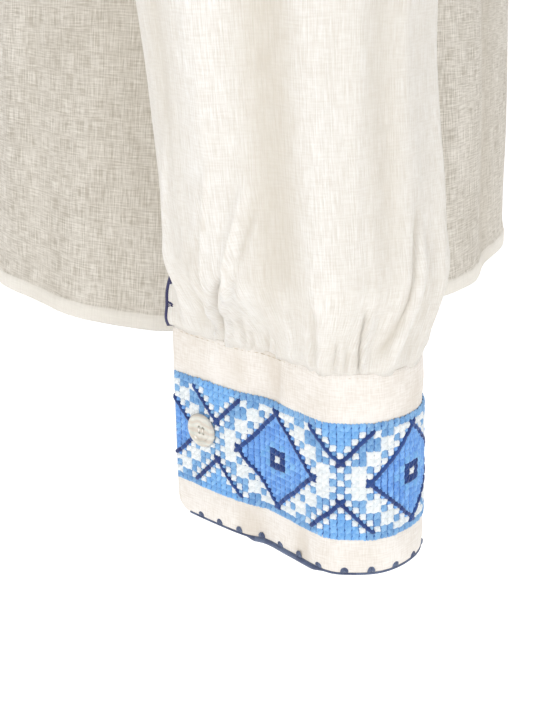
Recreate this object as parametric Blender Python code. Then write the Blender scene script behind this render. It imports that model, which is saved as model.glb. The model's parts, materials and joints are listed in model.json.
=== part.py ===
"""Pull-on blouse of white cotton gauze with embroidered cuffs, filled out as it is worn.

Metres, +Z up. The front faces -Y and the right sleeve hangs at -X. The origin is the middle of the
neck opening, at the height where the shoulder seams rest on the wearer.
"""

import bmesh
import bpy
import numpy as np

# Walls and seams
CLOTH_WALL = 0.0012
CUFF_WALL = 0.0016
BAND_WALL = 0.0016
HEM_FOLD = 0.006          # depth of the twice-folded hem
HEM_SWELL = 1.5           # the folded hem is this much thicker than the cloth
SEAM_GAP = 0.0004         # between the edges of two pieces that are sewn together
SIDE_TRIM = 0.0013        # share of a panel's half width that its side edge stands back
SHOULDER_TRIM = 0.0022    # share of the height above the underarm that its shoulder edge stands back

# Body
HEM_Z = -0.570
UNDERARM_Z = -0.238
SHOULDER_Z = -0.052
SHOULDER_X = 0.2135       # the dropped shoulder and the underarm lie on one upright line
SIDE_Y = 0.003            # the side seams stand a little behind the neck's middle
NECK_X = 0.112            # half the width of the neck opening
NECK_Z = -0.007
NECK_DROP = {"front": 0.088, "back": 0.022}
NECK_DEPTH = {"front": 0.100, "back": 0.062}
NECK_SHARE = 0.354        # share of a panel's half width that ends at the neck
CHEST_TURN = {"front": 60.0, "back": 72.0}   # how far the cloth has tipped inwards at the neck, degrees
SHOULDER_TURN = 80.0                         # and at the shoulder seam
ARMHOLE_CUT = 0.28        # share of the half width that the armhole takes at its middle
ARMHOLE_PULL = 0.45       # from here out, as a share of the half width, the armhole shapes the panel

# Neck band
BAND_DEPTH = 0.012
BAND_START = 0.0009       # from the panels' edge to the band's edge
BAND_LEAN = 1.2           # how far the band leans in for each unit of height, at the shoulders
BAND_LEAN_LOST = {"front": 0.65, "back": 0.35}   # how much less it leans at the front and back
BAND_CENTRE_Y = -0.009    # the band leans towards this point of the midline

# Sleeve, slit and cuff
SLIT_LENGTH = 0.060
SLIT_HALF_TURN = 1.3      # half the slit's opening at the cuff, degrees
ARMHOLE_GAP = 0.0010      # the sleeve bends away from the panels at the armhole, so its edge starts further out
UNDERARM_SHIFT = 0.0008   # and it folds back beside the body under the arm
ARMHOLE_SCOOP = 0.020     # the armhole curves in towards the chest and the back
CUFF_TOP = -0.557
CUFF_DEPTH = 0.075
CUFF_CORNER = 0.006
CUFF_LAP = 0.0205         # length of the end that lies under the buttoned one
CUFF_FLARE = 0.04         # the cuff is this share wider fore and aft at its lower edge
SEAM_TO_FULL = 0.034      # height over which the sleeve widens from the cuff's line to its own ring

# Button
BUTTON_INSET = 0.0145     # from the cuff's end to the button's middle
BUTTON_LEVEL = 0.49       # share of the cuff's depth, from its top
BUTTON_LIFT = 0.0003
BUTTON_PROFILE = [        # distance from the axis and height above the cuff
    (0.0, 0.0),
    (0.0050, 0.0),
    (0.0065, 0.0007),
    (0.0065, 0.0015),
    (0.0058, 0.0021),
    (0.0044, 0.0020),
    (0.0036, 0.0014),
    (0.0, 0.0014),
]


def table(columns, *rows):
    """A short table as a dictionary of columns."""
    return dict(zip(columns.split(), np.array(rows, float).T))


# The body's rings from the hem up to the underarm
TORSO = table(
    "z       half_width  front  back",
    (-0.570, 0.2000,     0.145, 0.124),
    (-0.480, 0.1970,     0.141, 0.119),
    (-0.380, 0.1955,     0.135, 0.112),
    (-0.300, 0.2010,     0.131, 0.109),
    (-0.238, 0.2135,     0.128, 0.108),
)

# Soft folds that hang in the body: angle from the front's middle, degrees, and height outwards, millimetres
DRAPE = table(
    "angle   half_width  height  top_z",
    (-166.0,  9.0,        5.5,   -0.27),
    (-140.0, 10.0,        6.5,   -0.22),
    (-117.0,  8.0,        3.0,   -0.38),
    (-100.0,  7.0,        1.6,   -0.44),
    (-66.0,   9.0,        4.0,   -0.34),
    (-44.0,   9.0,        6.5,   -0.24),
    (-20.0,   8.0,        5.0,   -0.30),
    (5.0,     9.0,        6.0,   -0.26),
    (28.0,    8.0,        4.5,   -0.33),
    (51.0,    9.0,        6.5,   -0.24),
    (73.0,    8.0,        3.5,   -0.36),
    (104.0,   8.0,        2.5,   -0.40),
    (126.0,   9.0,        5.5,   -0.28),
    (150.0,  10.0,        6.5,   -0.23),
    (176.0,   8.0,        4.5,   -0.30),
)

# The right sleeve's rings: out is half the ring across, away from the body, and fore is half of it fore
# and aft. A ring is upright at the armhole, where tilt is 90 degrees, and level at the wrist.
SLEEVE = table(
    "along  x        y        z        out     fore    tilt   turn",
    (0.000, -0.2135,  0.0030, -0.1450, 0.0930, 0.0500, 90.0,    0.0),
    (0.030, -0.2198,  0.0029, -0.1520, 0.0890, 0.0530, 87.0,    0.0),
    (0.080, -0.2308,  0.0025, -0.1660, 0.0823, 0.0565, 79.0,    0.0),
    (0.190, -0.2425,  0.0000, -0.2010, 0.0680, 0.0605, 64.0,    0.0),
    (0.340, -0.2488, -0.0060, -0.2600, 0.0540, 0.0600, 48.0,   -2.0),
    (0.530, -0.2492, -0.0150, -0.3300, 0.0450, 0.0550, 26.0,   -6.0),
    (0.700, -0.2475, -0.0215, -0.4000, 0.0410, 0.0500,  8.0,  -11.0),
    (0.810, -0.2458, -0.0255, -0.4570, 0.0380, 0.0458,  0.0,  -15.0),
    (0.900, -0.2455, -0.0297, -0.5080, 0.0350, 0.0469,  0.0,  -18.0),
    (0.965, -0.2452, -0.0315, -0.5400, 0.0335, 0.0475,  0.0,  -19.4),
    (1.000, -0.2450, -0.0310, CUFF_TOP + SEAM_GAP, 0.0335, 0.0475, 0.0, -19.4),
)

# The right cuff's line seen from above, from its buttoned end round the outer side to the front, and back
# on the inner side to its other end, which lies under the buttoned one
CUFF_LINE = table(
    "x        y",
    (-0.2290,  0.0155),
    (-0.2406,  0.0018),
    (-0.2498, -0.0105),
    (-0.2538, -0.0190),
    (-0.2620, -0.0273),
    (-0.2732, -0.0390),
    (-0.2753, -0.0480),
    (-0.2740, -0.0585),
    (-0.2680, -0.0675),
    (-0.2590, -0.0735),
    (-0.2470, -0.0740),
    (-0.2350, -0.0680),
    (-0.2265, -0.0570),
    (-0.2205, -0.0430),
    (-0.2170, -0.0260),
    (-0.2165, -0.0090),
    (-0.2195,  0.0025),
    (-0.2255,  0.0082),
    (-0.2319,  0.0075),
    (-0.2383, -0.0001),
    (-0.2420, -0.0049),
)

# Gathers above the cuff: angle round the sleeve, degrees, half width, degrees, height, millimetres, how
# far they reach up the sleeve, metres, and how far round they drift on the way, degrees
GATHERS = table(
    "angle   half_width  height  reach  drift",
    (-74.0,   8.0,        2.2,   0.050,   3.0),
    (-44.0,   6.0,        3.2,   0.040,   8.0),
    (-28.0,   5.0,        2.4,   0.026,   2.0),
    (-7.0,    8.0,        2.8,   0.060,   4.0),
    (26.0,   11.0,        3.2,   0.080,  -3.0),
    (57.0,    6.0,        3.0,   0.045,   3.0),
    (79.0,    7.0,        3.6,   0.105,  14.0),
    (104.0,   8.0,        3.0,   0.070,   4.0),
    (128.0,   7.0,        2.4,   0.050,   3.0),
    (149.0,   8.0,        3.2,   0.080,  -5.0),
    (174.0,   7.0,        2.6,   0.055,   4.0),
    (197.0,   8.0,        3.2,   0.085,  -5.0),
    (221.0,   7.0,        2.6,   0.060,   4.0),
    (245.0,   8.0,        2.8,   0.060,  -4.0),
)
GATHER_ROOT = 0.2         # share of a gather's height that is left at the cuff's seam
GATHER_RISE = 0.012       # metres above the seam where it is at its highest

# Long folds down the sleeve: angle, half width, degrees, height, millimetres, middle and half length, along
SLEEVE_FOLDS = table(
    "angle   half_width  height  middle  half_length",
    (-35.0,  16.0,        2.5,   0.72,   0.20),
    (30.0,   15.0,        3.0,   0.62,   0.26),
    (75.0,   16.0,       -2.5,   0.78,   0.16),
    (140.0,  18.0,        3.5,   0.30,   0.16),
    (165.0,  14.0,       -3.5,   0.42,   0.16),
    (222.0,  18.0,        3.5,   0.34,   0.18),
    (-95.0,  14.0,       -2.5,   0.55,   0.18),
)

# How finely each piece is divided
NECK_COLUMNS = 16
SHOULDER_COLUMNS = 8
BODY_ROWS = 9
CHEST_ROWS = 9
SLEEVE_COLUMNS = 56
CUFF_COLUMNS = 46
BUTTON_SIDES = 24
GATHER_ROWS = np.array([0, 0.007, 0.016, 0.027, 0.040, SLIT_LENGTH, 0.080, 0.105])   # metres above the seam
ARM_ROWS = np.array([0.72, 0.63, 0.53, 0.43, 0.33, 0.24, 0.16, 0.08, 0.03, 0.0])     # share of the way down
CORNER_COLUMNS = np.array([0, 0.1, 0.35, 0.65, 1])        # share of the rounded corner
CUFF_ROWS = np.array([1, 0.97, 0.9, 0.7, 0.45, 0.2, 0])   # share of the depth, from the lower edge up

# Colours, roughness
COTTON = ((0.90, 0.87, 0.81), 0.9)
CUFF_COTTON = ((0.93, 0.91, 0.86), 0.85)
SHELL = ((0.86, 0.82, 0.76), 0.3)

MM = 0.001


def smooth_read(source, column, at):
    """A column's value at points along the table's first column, on a smooth curve through the rows."""
    key = source[next(iter(source))]
    value = source[column]
    slope = np.gradient(value, key)
    at = np.clip(at, key[0], key[-1])
    i = np.clip(np.searchsorted(key, at, side="right") - 1, 0, len(key) - 2)
    step = key[i + 1] - key[i]
    t = (at - key[i]) / step
    return (
        value[i] * (1 + 2 * t) * (1 - t) ** 2
        + slope[i] * step * t * (1 - t) ** 2
        + value[i + 1] * t * t * (3 - 2 * t)
        - slope[i + 1] * step * t * t * (1 - t)
    )


def ease(t):
    """0 below 0, 1 above 1, and a smooth rise between."""
    t = np.clip(t, 0, 1)
    return t * t * (3 - 2 * t)


def bump(angle, middle, half_width):
    """A round ridge of height 1 about a middle, on angles in degrees that wrap at a full turn."""
    away = (angle - middle + 180) % 360 - 180
    return np.exp(-((away / half_width) ** 2))


def rows_of(source):
    """The table's rows as dictionaries."""
    return [dict(zip(source, row)) for row in zip(*source.values())]


def stack(x, y, z):
    """Points from three arrays that broadcast together."""
    return np.stack(np.broadcast_arrays(x, y, z), axis=-1)


def torso(angle, z):
    """Points on the body's tube: an ellipse at each height, plus the folds that hang in it."""
    turn = np.radians(angle)
    wide = smooth_read(TORSO, "half_width", z)
    deep = np.where(np.cos(turn) > 0, smooth_read(TORSO, "front", z), smooth_read(TORSO, "back", z))
    out_x, out_y = np.sin(turn) / wide, -np.cos(turn) / deep
    length = np.hypot(out_x, out_y)
    push = 0.0
    for fold in rows_of(DRAPE):
        hang = ease((fold["top_z"] - z) / (fold["top_z"] - HEM_Z))
        push = push + fold["height"] * MM * bump(angle, fold["angle"], fold["half_width"]) * hang
    x = wide * np.sin(turn) + push * out_x / length
    y = SIDE_Y - deep * np.cos(turn) + push * out_y / length
    return stack(x, y, z)


def measured_line():
    """The cuff's line as a smooth curve: lengths from its buttoned end, and the points at those lengths."""
    rows = table("row x y", *zip(range(len(CUFF_LINE["x"])), CUFF_LINE["x"], CUFF_LINE["y"]))
    at = np.linspace(0, rows["row"][-1], 4001)
    x, y = smooth_read(rows, "x", at), smooth_read(rows, "y", at)
    length = np.concatenate([[0], np.cumsum(np.hypot(np.diff(x), np.diff(y)))])
    return length, x, y


LINE_LENGTH, LINE_X, LINE_Y = measured_line()
CUFF_LENGTH = LINE_LENGTH[-1]
CUFF_ROUND = CUFF_LENGTH - CUFF_LAP


def cuff_point(length, share):
    """A point on the right cuff, by the length of cloth from its buttoned end and the share of its depth."""
    x, y = np.interp(length, LINE_LENGTH, LINE_X), np.interp(length, LINE_LENGTH, LINE_Y)
    y = LINE_Y[0] + (y - LINE_Y[0]) * (1 - CUFF_FLARE * (1 - share))
    return stack(x, y, CUFF_TOP - CUFF_DEPTH * share)


def sleeve_push(along, angle, height):
    """How far the sleeve's cloth stands out of its plain ring: long folds, and gathers above the cuff."""
    push = 0.0
    for fold in rows_of(SLEEVE_FOLDS):
        ridge = bump(angle, fold["angle"], fold["half_width"])
        fade = np.exp(-(((along - fold["middle"]) / fold["half_length"]) ** 2))
        push = push + fold["height"] * MM * ridge * fade
    push = push * ease((1 - along) / 0.06) * ease(along / 0.12)
    rise = GATHER_ROOT + (1 - GATHER_ROOT) * ease(height / GATHER_RISE)
    for fold in rows_of(GATHERS):
        fade = 1 - ease((height - GATHER_RISE) / fold["reach"])
        middle = fold["angle"] + fold["drift"] * height / fold["reach"]
        push = push + fold["height"] * MM * bump(angle, middle, fold["half_width"]) * rise * fade
    return push


def sleeve_ring(along, angle):
    """Points on the right sleeve: a tilted, turned ellipse at each station, drawn in to the cuff's line.

    The angle is 0 on the outer side, 90 at the front and -90 at the back, where the slit is.
    """
    value = {column: smooth_read(SLEEVE, column, along) for column in SLEEVE}
    turn, tilt, spin = np.radians(angle), np.radians(value["tilt"]), np.radians(value["turn"])
    across, aft = -value["out"] * np.cos(turn), -value["fore"] * np.sin(turn)
    flat = across * np.cos(tilt)
    scoop = ARMHOLE_SCOOP * np.abs(np.sin(turn)) ** 3 * (1 - ease(along / 0.25))
    centre = stack(value["x"] + scoop, value["y"], value["z"] + 0 * turn)
    ring = stack(
        flat * np.cos(spin) - aft * np.sin(spin),
        flat * np.sin(spin) + aft * np.cos(spin),
        -across * np.sin(tilt),
    )
    height = value["z"] - CUFF_TOP - SEAM_GAP + 0 * turn
    seam = cuff_point((angle + 90) / 360 * CUFF_ROUND, np.array(0.0)) - centre
    seam[..., 2] = 0
    drawn = np.where(height < SEAM_TO_FULL, 1 - ease(height / SEAM_TO_FULL), 0)[..., None]
    ring = ring + (seam - ring) * drawn
    push = sleeve_push(along, angle, height)
    return centre + ring * (1 + push / np.linalg.norm(ring, axis=-1))[..., None]


def top_edge(side, u):
    """A panel's upper edge: shoulder seam, neck curve, shoulder seam, for u from -1 to 1."""
    share = np.abs(u)
    beta = np.radians(90) * np.clip(u / NECK_SHARE, -1, 1)
    sign = 1 if side == "back" else -1
    neck = stack(
        NECK_X * np.sin(beta),
        SIDE_Y + sign * NECK_DEPTH[side] * np.cos(beta),
        NECK_Z - NECK_DROP[side] * np.cos(beta) ** 1.4,
    )
    along = np.clip((share - NECK_SHARE) / (1 - NECK_SHARE), 0, 1)
    start = np.sin(np.radians(90) * NECK_SHARE)
    arc = np.clip((np.sin(np.radians(90) * share) - start) / (1 - start), 0, 1)
    along = 0.5 * along + 0.5 * arc
    shoulder = stack(
        np.sign(u) * (NECK_X + (SHOULDER_X - NECK_X) * along),
        SIDE_Y,
        NECK_Z + (SHOULDER_Z - NECK_Z) * along ** 1.15,
    )
    return np.where((share < NECK_SHARE)[..., None], neck, shoulder)


def chest(side, u, s):
    """A panel above the underarm: each upright line bends in like an arc, from the ring to the top edge.

    The armhole cuts the panel's side away, and the cloth next to it is pulled out to meet the armhole's line.
    """
    middle, sign = (180.0, -1) if side == "back" else (0.0, 1)
    rise = np.sin(s * np.radians(SHOULDER_TURN)) / np.sin(np.radians(SHOULDER_TURN))
    level = np.arccos(np.clip(2 * rise - 1, -1, 1))
    kept = 1 - ARMHOLE_CUT * np.sin(level)

    def plain(at):
        near_neck = ease((NECK_SHARE * 1.5 - np.abs(at)) / NECK_SHARE)
        turn = np.radians(SHOULDER_TURN + (CHEST_TURN[side] - SHOULDER_TURN) * near_neck)
        low = torso(middle + sign * 90 * at, np.array(UNDERARM_Z))
        inwards = (1 - np.cos(s * turn)) / (1 - np.cos(turn))
        upwards = np.sin(s * turn) / np.sin(turn)
        return low + (top_edge(side, at) - low) * stack(inwards, inwards, upwards)

    edge = plain(np.where(u < 0, -1, 1) * kept)
    armhole = sleeve_ring(np.array(0.0), sign * np.degrees(level))
    armhole = stack(np.where(u < 0, 1, -1) * armhole[..., 0], armhole[..., 1], armhole[..., 2])
    pull = np.clip((np.abs(u) - ARMHOLE_PULL) / (1 - ARMHOLE_PULL), 0, 1) ** 2
    return plain(u * kept) + pull[..., None] * (armhole - edge)


def panel(side, u, v):
    """Front or back: u from -1 to 1 across, v from 0 at the hem to 1 at the underarm and 2 at the top."""
    middle, sign = (180.0, -1) if side == "back" else (0.0, 1)
    height = HEM_Z + (UNDERARM_Z - HEM_Z) * np.clip(v, 0, 1)
    low = torso(middle + sign * 90 * u, height)
    high = chest(side, u, np.clip(v - 1, 0, 1))
    return np.where((v < 1)[..., None], low, high)


def paint(obj, finish):
    """Gives the object a plain cloth or shell material."""
    colour, roughness = finish
    material = bpy.data.materials.new(obj.name)
    material.use_nodes = True
    shader = material.node_tree.nodes["Principled BSDF"]
    shader.inputs["Base Color"].default_value = (*colour, 1)
    shader.inputs["Roughness"].default_value = roughness
    shader.inputs["Metallic"].default_value = 0
    obj.data.materials.append(material)


def sheet(name, points, wall, finish, closed=False, slit_rows=0, thick_rows=0):
    """A wall of cloth about a grid of points, rows by columns, thickened by a Solidify modifier.

    A closed sheet joins its last column to its first. The first slit_rows rows stay open there, as two
    edges, and the first thick_rows rows are the folded hem.
    """
    rows, columns = points.shape[:2]
    mesh = bmesh.new()
    grid = [[mesh.verts.new(p) for p in row] for row in points]
    for r in range(rows):
        if closed and r >= slit_rows:
            mesh.verts.remove(grid[r][-1])
            grid[r][-1] = grid[r][0]
    for r in range(rows - 1):
        for c in range(columns - 1):
            mesh.faces.new((grid[r][c], grid[r][c + 1], grid[r + 1][c + 1], grid[r + 1][c]))
    data = bpy.data.meshes.new(name)
    mesh.to_mesh(data)
    mesh.free()
    obj = bpy.data.objects.new(name, data)
    bpy.context.scene.collection.objects.link(obj)
    data.shade_smooth()
    solid = obj.modifiers.new("wall", "SOLIDIFY")
    solid.thickness = wall
    solid.offset = 0
    solid.use_even_offset = False
    if thick_rows:
        group = obj.vertex_groups.new(name="hem")
        group.add(list(range(thick_rows * columns)), 1.0, "REPLACE")
        solid.vertex_group = group.name
        solid.thickness = wall * HEM_SWELL
        solid.thickness_vertex_group = 1 / HEM_SWELL
    paint(obj, finish)
    return obj


def mirrored(points):
    """The same grid on the other side of the body, turned so that its faces still point out."""
    return (points * np.array([-1, 1, 1]))[:, ::-1]


def make_panel(side):
    """Front or back, from its hem to its shoulder seams and neck edge."""
    shoulder = np.linspace(NECK_SHARE, 1, SHOULDER_COLUMNS + 1)
    neck = np.linspace(-NECK_SHARE, NECK_SHARE, NECK_COLUMNS + 1)
    u = np.concatenate([-shoulder[:0:-1], neck, shoulder[1:]])
    u = u * (1 - SIDE_TRIM)
    hem = HEM_FOLD / (UNDERARM_Z - HEM_Z)
    body = np.linspace(hem * 2, 1, BODY_ROWS)[:-1]
    rise = 0.5 - 0.5 * np.cos(np.linspace(0, np.pi, CHEST_ROWS + 1))
    turn = np.radians(SHOULDER_TURN)
    upper = 1 + np.arcsin(rise * np.sin(turn)) / turn
    upper[-1] -= SHOULDER_TRIM
    v = np.concatenate([[0, hem], body, upper])
    grid_v, grid_u = np.meshgrid(v, u, indexing="ij")
    return sheet(side, panel(side, grid_u, grid_v), CLOTH_WALL, COTTON, thick_rows=2)


def make_sleeves():
    """Both sleeves, each a tube from the cuff's seam up to the armhole, with a slit at the back."""
    low = np.interp(CUFF_TOP + SEAM_GAP + GATHER_ROWS, SLEEVE["z"][::-1], SLEEVE["along"][::-1])
    along = np.concatenate([low, ARM_ROWS])[:, None]
    height = smooth_read(SLEEVE, "z", along) - CUFF_TOP - SEAM_GAP
    gap = SLIT_HALF_TURN * np.sqrt(np.clip(1 - height / SLIT_LENGTH, 0, 1))
    angle = -90 + gap + (360 - 2 * gap) * np.linspace(0, 1, SLEEVE_COLUMNS + 1)[None, :]
    grid = sleeve_ring(along + 0 * angle, angle)
    grid[-1, :, 0] -= ARMHOLE_GAP + UNDERARM_SHIFT * bump(angle[-1], 180, 70)
    slit_rows = int(np.sum(GATHER_ROWS < SLIT_LENGTH))
    for name, points in (("sleeve_right", grid), ("sleeve_left", mirrored(grid))):
        sheet(name, points, CLOTH_WALL, COTTON, closed=True, slit_rows=slit_rows)


def make_cuffs():
    """Both cuffs: strips that go once round, with the plain end under the buttoned one."""
    near_end = CUFF_CORNER * CORNER_COLUMNS
    length = np.concatenate([
        near_end,
        np.linspace(CUFF_CORNER, CUFF_LENGTH - CUFF_CORNER, CUFF_COLUMNS)[1:-1],
        CUFF_LENGTH - near_end[::-1],
    ])
    end = np.minimum(length, CUFF_LENGTH - length)
    share = CUFF_ROWS[:, None]
    rise = CUFF_CORNER - np.sqrt(CUFF_CORNER**2 - np.clip(CUFF_CORNER - end, 0, CUFF_CORNER) ** 2)
    grid = cuff_point(length[None, :] + 0 * share, share * (1 - rise / CUFF_DEPTH)[None, :])
    sheet("cuff_right", grid, CUFF_WALL, CUFF_COTTON)
    sheet("cuff_left", mirrored(grid), CUFF_WALL, CUFF_COTTON)


def make_neck_band():
    """The band that finishes the neck: a low strip that stands up from the panels' neck edge."""
    u = np.linspace(-NECK_SHARE, NECK_SHARE, NECK_COLUMNS + 1)
    front, back = top_edge("front", u), top_edge("back", -u)
    loop = np.concatenate([front[:-1], back])
    inwards = np.array([0, BAND_CENTRE_Y, 0]) - loop
    inwards[:, 2] = 0
    inwards /= np.linalg.norm(inwards, axis=1, keepdims=True)
    fore = np.clip((SIDE_Y - loop[:, 1:2]) / NECK_DEPTH["front"], 0, 1)
    aft = np.clip((loop[:, 1:2] - SIDE_Y) / NECK_DEPTH["back"], 0, 1)
    lean = BAND_LEAN - BAND_LEAN_LOST["front"] * fore - BAND_LEAN_LOST["back"] * aft
    direction = inwards * lean + np.array([0, 0, 1])
    direction /= np.linalg.norm(direction, axis=1, keepdims=True)
    lengths = np.array([BAND_START, 0.5 * (BAND_START + BAND_DEPTH), BAND_DEPTH])
    grid = loop[None] + lengths[:, None, None] * direction[None]
    sheet("neck_band", grid, BAND_WALL, CUFF_COTTON, closed=True)


def make_buttons():
    """A shirt button on each cuff: a turned disc with a raised rim, flat on the cuff's outer face."""
    here = cuff_point(BUTTON_INSET, BUTTON_LEVEL)
    round_step = cuff_point(BUTTON_INSET + 0.001, BUTTON_LEVEL) - here
    down_step = cuff_point(BUTTON_INSET, BUTTON_LEVEL + 0.02) - here
    out = np.cross(round_step, -down_step)
    out /= np.linalg.norm(out)
    down = down_step / np.linalg.norm(down_step)
    side = np.cross(down, out)
    seat = here + out * (CUFF_WALL / 2 + BUTTON_LIFT)
    for name, flip in (("button_right", 1), ("button_left", -1)):
        mesh = bmesh.new()
        points = [mesh.verts.new((r, 0, h)) for r, h in BUTTON_PROFILE]
        edges = [mesh.edges.new(pair) for pair in zip(points, points[1:])]
        turned = {"cent": (0, 0, 0), "axis": (0, 0, 1), "angle": 2 * np.pi, "steps": BUTTON_SIDES}
        bmesh.ops.spin(mesh, geom=points + edges, use_duplicate=False, **turned)
        bmesh.ops.remove_doubles(mesh, verts=mesh.verts, dist=1e-6)
        bmesh.ops.recalc_face_normals(mesh, faces=mesh.faces)
        for vert in mesh.verts:
            place = seat + side * vert.co.x + down * vert.co.y + out * vert.co.z
            vert.co = place * np.array([flip, 1, 1])
        if flip < 0:
            bmesh.ops.reverse_faces(mesh, faces=mesh.faces)
        data = bpy.data.meshes.new(name)
        mesh.to_mesh(data)
        mesh.free()
        obj = bpy.data.objects.new(name, data)
        bpy.context.scene.collection.objects.link(obj)
        paint(obj, SHELL)


def main():
    for obj in list(bpy.data.objects):
        bpy.data.objects.remove(obj)
    make_panel("front")
    make_panel("back")
    make_sleeves()
    make_cuffs()
    make_neck_band()
    make_buttons()


main()
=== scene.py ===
# %% [markdown]
# # A gauze blouse with cross-stitched cuffs
#
# The blouse is a loose pull-on top of thin white cotton. Each sleeve is gathered into a deep two-layer
# cuff that is worked in cross stitch and shut with a shell button. The frame holds the plain solids of
# the same pieces. This lesson gives them their looks: fine cloth surfaces, creases, thread and light.

import json

import bpy
import numpy as np
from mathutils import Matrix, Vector

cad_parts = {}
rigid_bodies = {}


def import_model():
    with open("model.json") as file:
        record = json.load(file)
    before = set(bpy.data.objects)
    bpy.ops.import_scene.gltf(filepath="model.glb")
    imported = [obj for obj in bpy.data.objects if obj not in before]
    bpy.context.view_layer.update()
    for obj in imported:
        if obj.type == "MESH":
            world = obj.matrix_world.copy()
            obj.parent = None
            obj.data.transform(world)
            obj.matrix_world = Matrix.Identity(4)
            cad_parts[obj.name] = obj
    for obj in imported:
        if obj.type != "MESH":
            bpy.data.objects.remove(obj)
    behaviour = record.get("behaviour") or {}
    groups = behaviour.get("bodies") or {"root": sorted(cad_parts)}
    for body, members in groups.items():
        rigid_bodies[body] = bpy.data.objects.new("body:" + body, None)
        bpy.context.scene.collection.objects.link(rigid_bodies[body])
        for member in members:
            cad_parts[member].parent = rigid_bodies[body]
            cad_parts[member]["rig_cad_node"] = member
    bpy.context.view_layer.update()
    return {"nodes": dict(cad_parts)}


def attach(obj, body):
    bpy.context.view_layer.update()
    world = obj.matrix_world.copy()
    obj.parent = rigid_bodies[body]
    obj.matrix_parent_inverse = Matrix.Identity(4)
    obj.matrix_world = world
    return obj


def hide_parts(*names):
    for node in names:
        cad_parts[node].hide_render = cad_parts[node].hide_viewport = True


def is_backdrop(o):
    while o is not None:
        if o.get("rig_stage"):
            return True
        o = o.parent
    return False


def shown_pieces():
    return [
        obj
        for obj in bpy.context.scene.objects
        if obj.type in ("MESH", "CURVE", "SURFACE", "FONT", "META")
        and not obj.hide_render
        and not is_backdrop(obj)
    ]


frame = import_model()
print("nodes:", sorted(frame["nodes"]))

# %% [markdown]
# ## The blouse's own sizes
#
# A pattern cutter works from a short list of measures. The same measures shape the solids, so the fine
# surfaces that follow land on them. All are in metres, with the middle of the neck as the origin, the
# front towards -Y and the right sleeve towards -X. Angles are in degrees.

# %% Driving sizes
HEM_Z = -0.570
HEM_FOLD = 0.006
UNDERARM_Z = -0.238
SHOULDER_Z = -0.052
SHOULDER_X = 0.2135
SIDE_Y = 0.003
NECK_X = 0.112
NECK_Z = -0.007
NECK_DROP = {"front": 0.088, "back": 0.022}
NECK_DEPTH = {"front": 0.100, "back": 0.062}
NECK_SHARE = 0.354
CHEST_TURN = {"front": 60.0, "back": 72.0}
SHOULDER_TURN = 80.0
ARMHOLE_CUT = 0.28
ARMHOLE_PULL = 0.45
ARMHOLE_SCOOP = 0.020
SLIT_LENGTH = 0.060
CUFF_TOP = -0.557
CUFF_DEPTH = 0.075
CUFF_CORNER = 0.006
CUFF_LAP = 0.0205
CUFF_FLARE = 0.04
CUFF_HALF_WALL = 0.0007
SEAM_GAP = 0.0004
SEAM_TO_FULL = 0.034
BUTTON_INSET = 0.0153
BUTTON_LEVEL = 0.49
BUTTON_RADIUS = 0.0065
CLOTH_WALL = 0.0005
CUFF_WALL = 0.0014
MM = 0.001
SIDES = ("right", "left")
FACING = {"front": 1, "back": -1}
MIRROR = np.array([-1, 1, 1])

# %% [markdown]
# ## Tables and smooth curves
#
# The rings of the body, the stations of the sleeve and the folds are short tables. A smooth curve through
# a table's rows gives every height in between, the way a draper's curve joins a few marks.


# %% Helpers for tables and points
def table(columns, *rows):
    """A short table as a dictionary of columns."""
    return dict(zip(columns.split(), np.array(rows, float).T))


def rows_of(source):
    """The table's rows as dictionaries."""
    return [dict(zip(source, row)) for row in zip(*source.values())]


def smooth_read(source, column, at):
    """Cubic Hermite curve through a column, keyed by the first column, with slopes from its neighbours."""
    key = source[next(iter(source))]
    value = source[column]
    slope = np.gradient(value, key)
    at = np.clip(at, key[0], key[-1])
    i = np.clip(np.searchsorted(key, at, side="right") - 1, 0, len(key) - 2)
    step = key[i + 1] - key[i]
    t = (at - key[i]) / step
    return (
        value[i] * (1 + 2 * t) * (1 - t) ** 2
        + slope[i] * step * t * (1 - t) ** 2
        + value[i + 1] * t * t * (3 - 2 * t)
        - slope[i + 1] * step * t * t * (1 - t)
    )


# %% Soft steps and bells
def ease(t):
    """0 below 0, 1 above 1, and 3t^2 - 2t^3 between."""
    t = np.clip(t, 0, 1)
    return t * t * (3 - 2 * t)


def bell(away, half_width):
    """e to the minus square of the distance over the half width."""
    return np.exp(-((away / half_width) ** 2))


def bump(angle, middle, half_width):
    """A bell about an angle, on degrees that wrap."""
    return bell((angle - middle + 180) % 360 - 180, half_width)


# %% Arrays of points
def stack(x, y, z):
    """Points from three arrays that broadcast together."""
    return np.stack(np.broadcast_arrays(x, y, z), axis=-1)


def unit(vectors):
    """Each vector over its own length."""
    return vectors / np.maximum(np.linalg.norm(vectors, axis=-1, keepdims=True), 1e-12)


def lengths(points, axis=0):
    """The running sum of the steps between points along one axis, from 0."""
    sums = np.cumsum(np.linalg.norm(np.diff(points, axis=axis), axis=-1), axis=axis)
    return np.pad(sums, [(int(k == axis), 0) for k in range(sums.ndim)])


# %% [markdown]
# ## Random but repeatable
#
# Thin cotton is never quite smooth. A lattice of random numbers with eased steps between them gives a
# soft unevenness, and a fixed seed gives the same cloth each time.


# %% Value noise
def value_noise(across, along, seed, wrap=0):
    """Random numbers at whole steps of both measures, eased between; wrap joins the first measure's ends."""
    numbers = np.random.default_rng(seed).random((97, 89)) * 2 - 1
    across, along = np.broadcast_arrays(across, along)
    i, j = np.floor(across).astype(int), np.floor(along).astype(int)
    s, t = ease(across - i), ease(along - j)
    size = wrap or 97
    left, right = i % size % 97, (i + 1) % size % 97
    low, high = j % 89, (j + 1) % 89
    bottom = numbers[left, low] * (1 - s) + numbers[right, low] * s
    top = numbers[left, high] * (1 - s) + numbers[right, high] * s
    return bottom * (1 - t) + top * t


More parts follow.
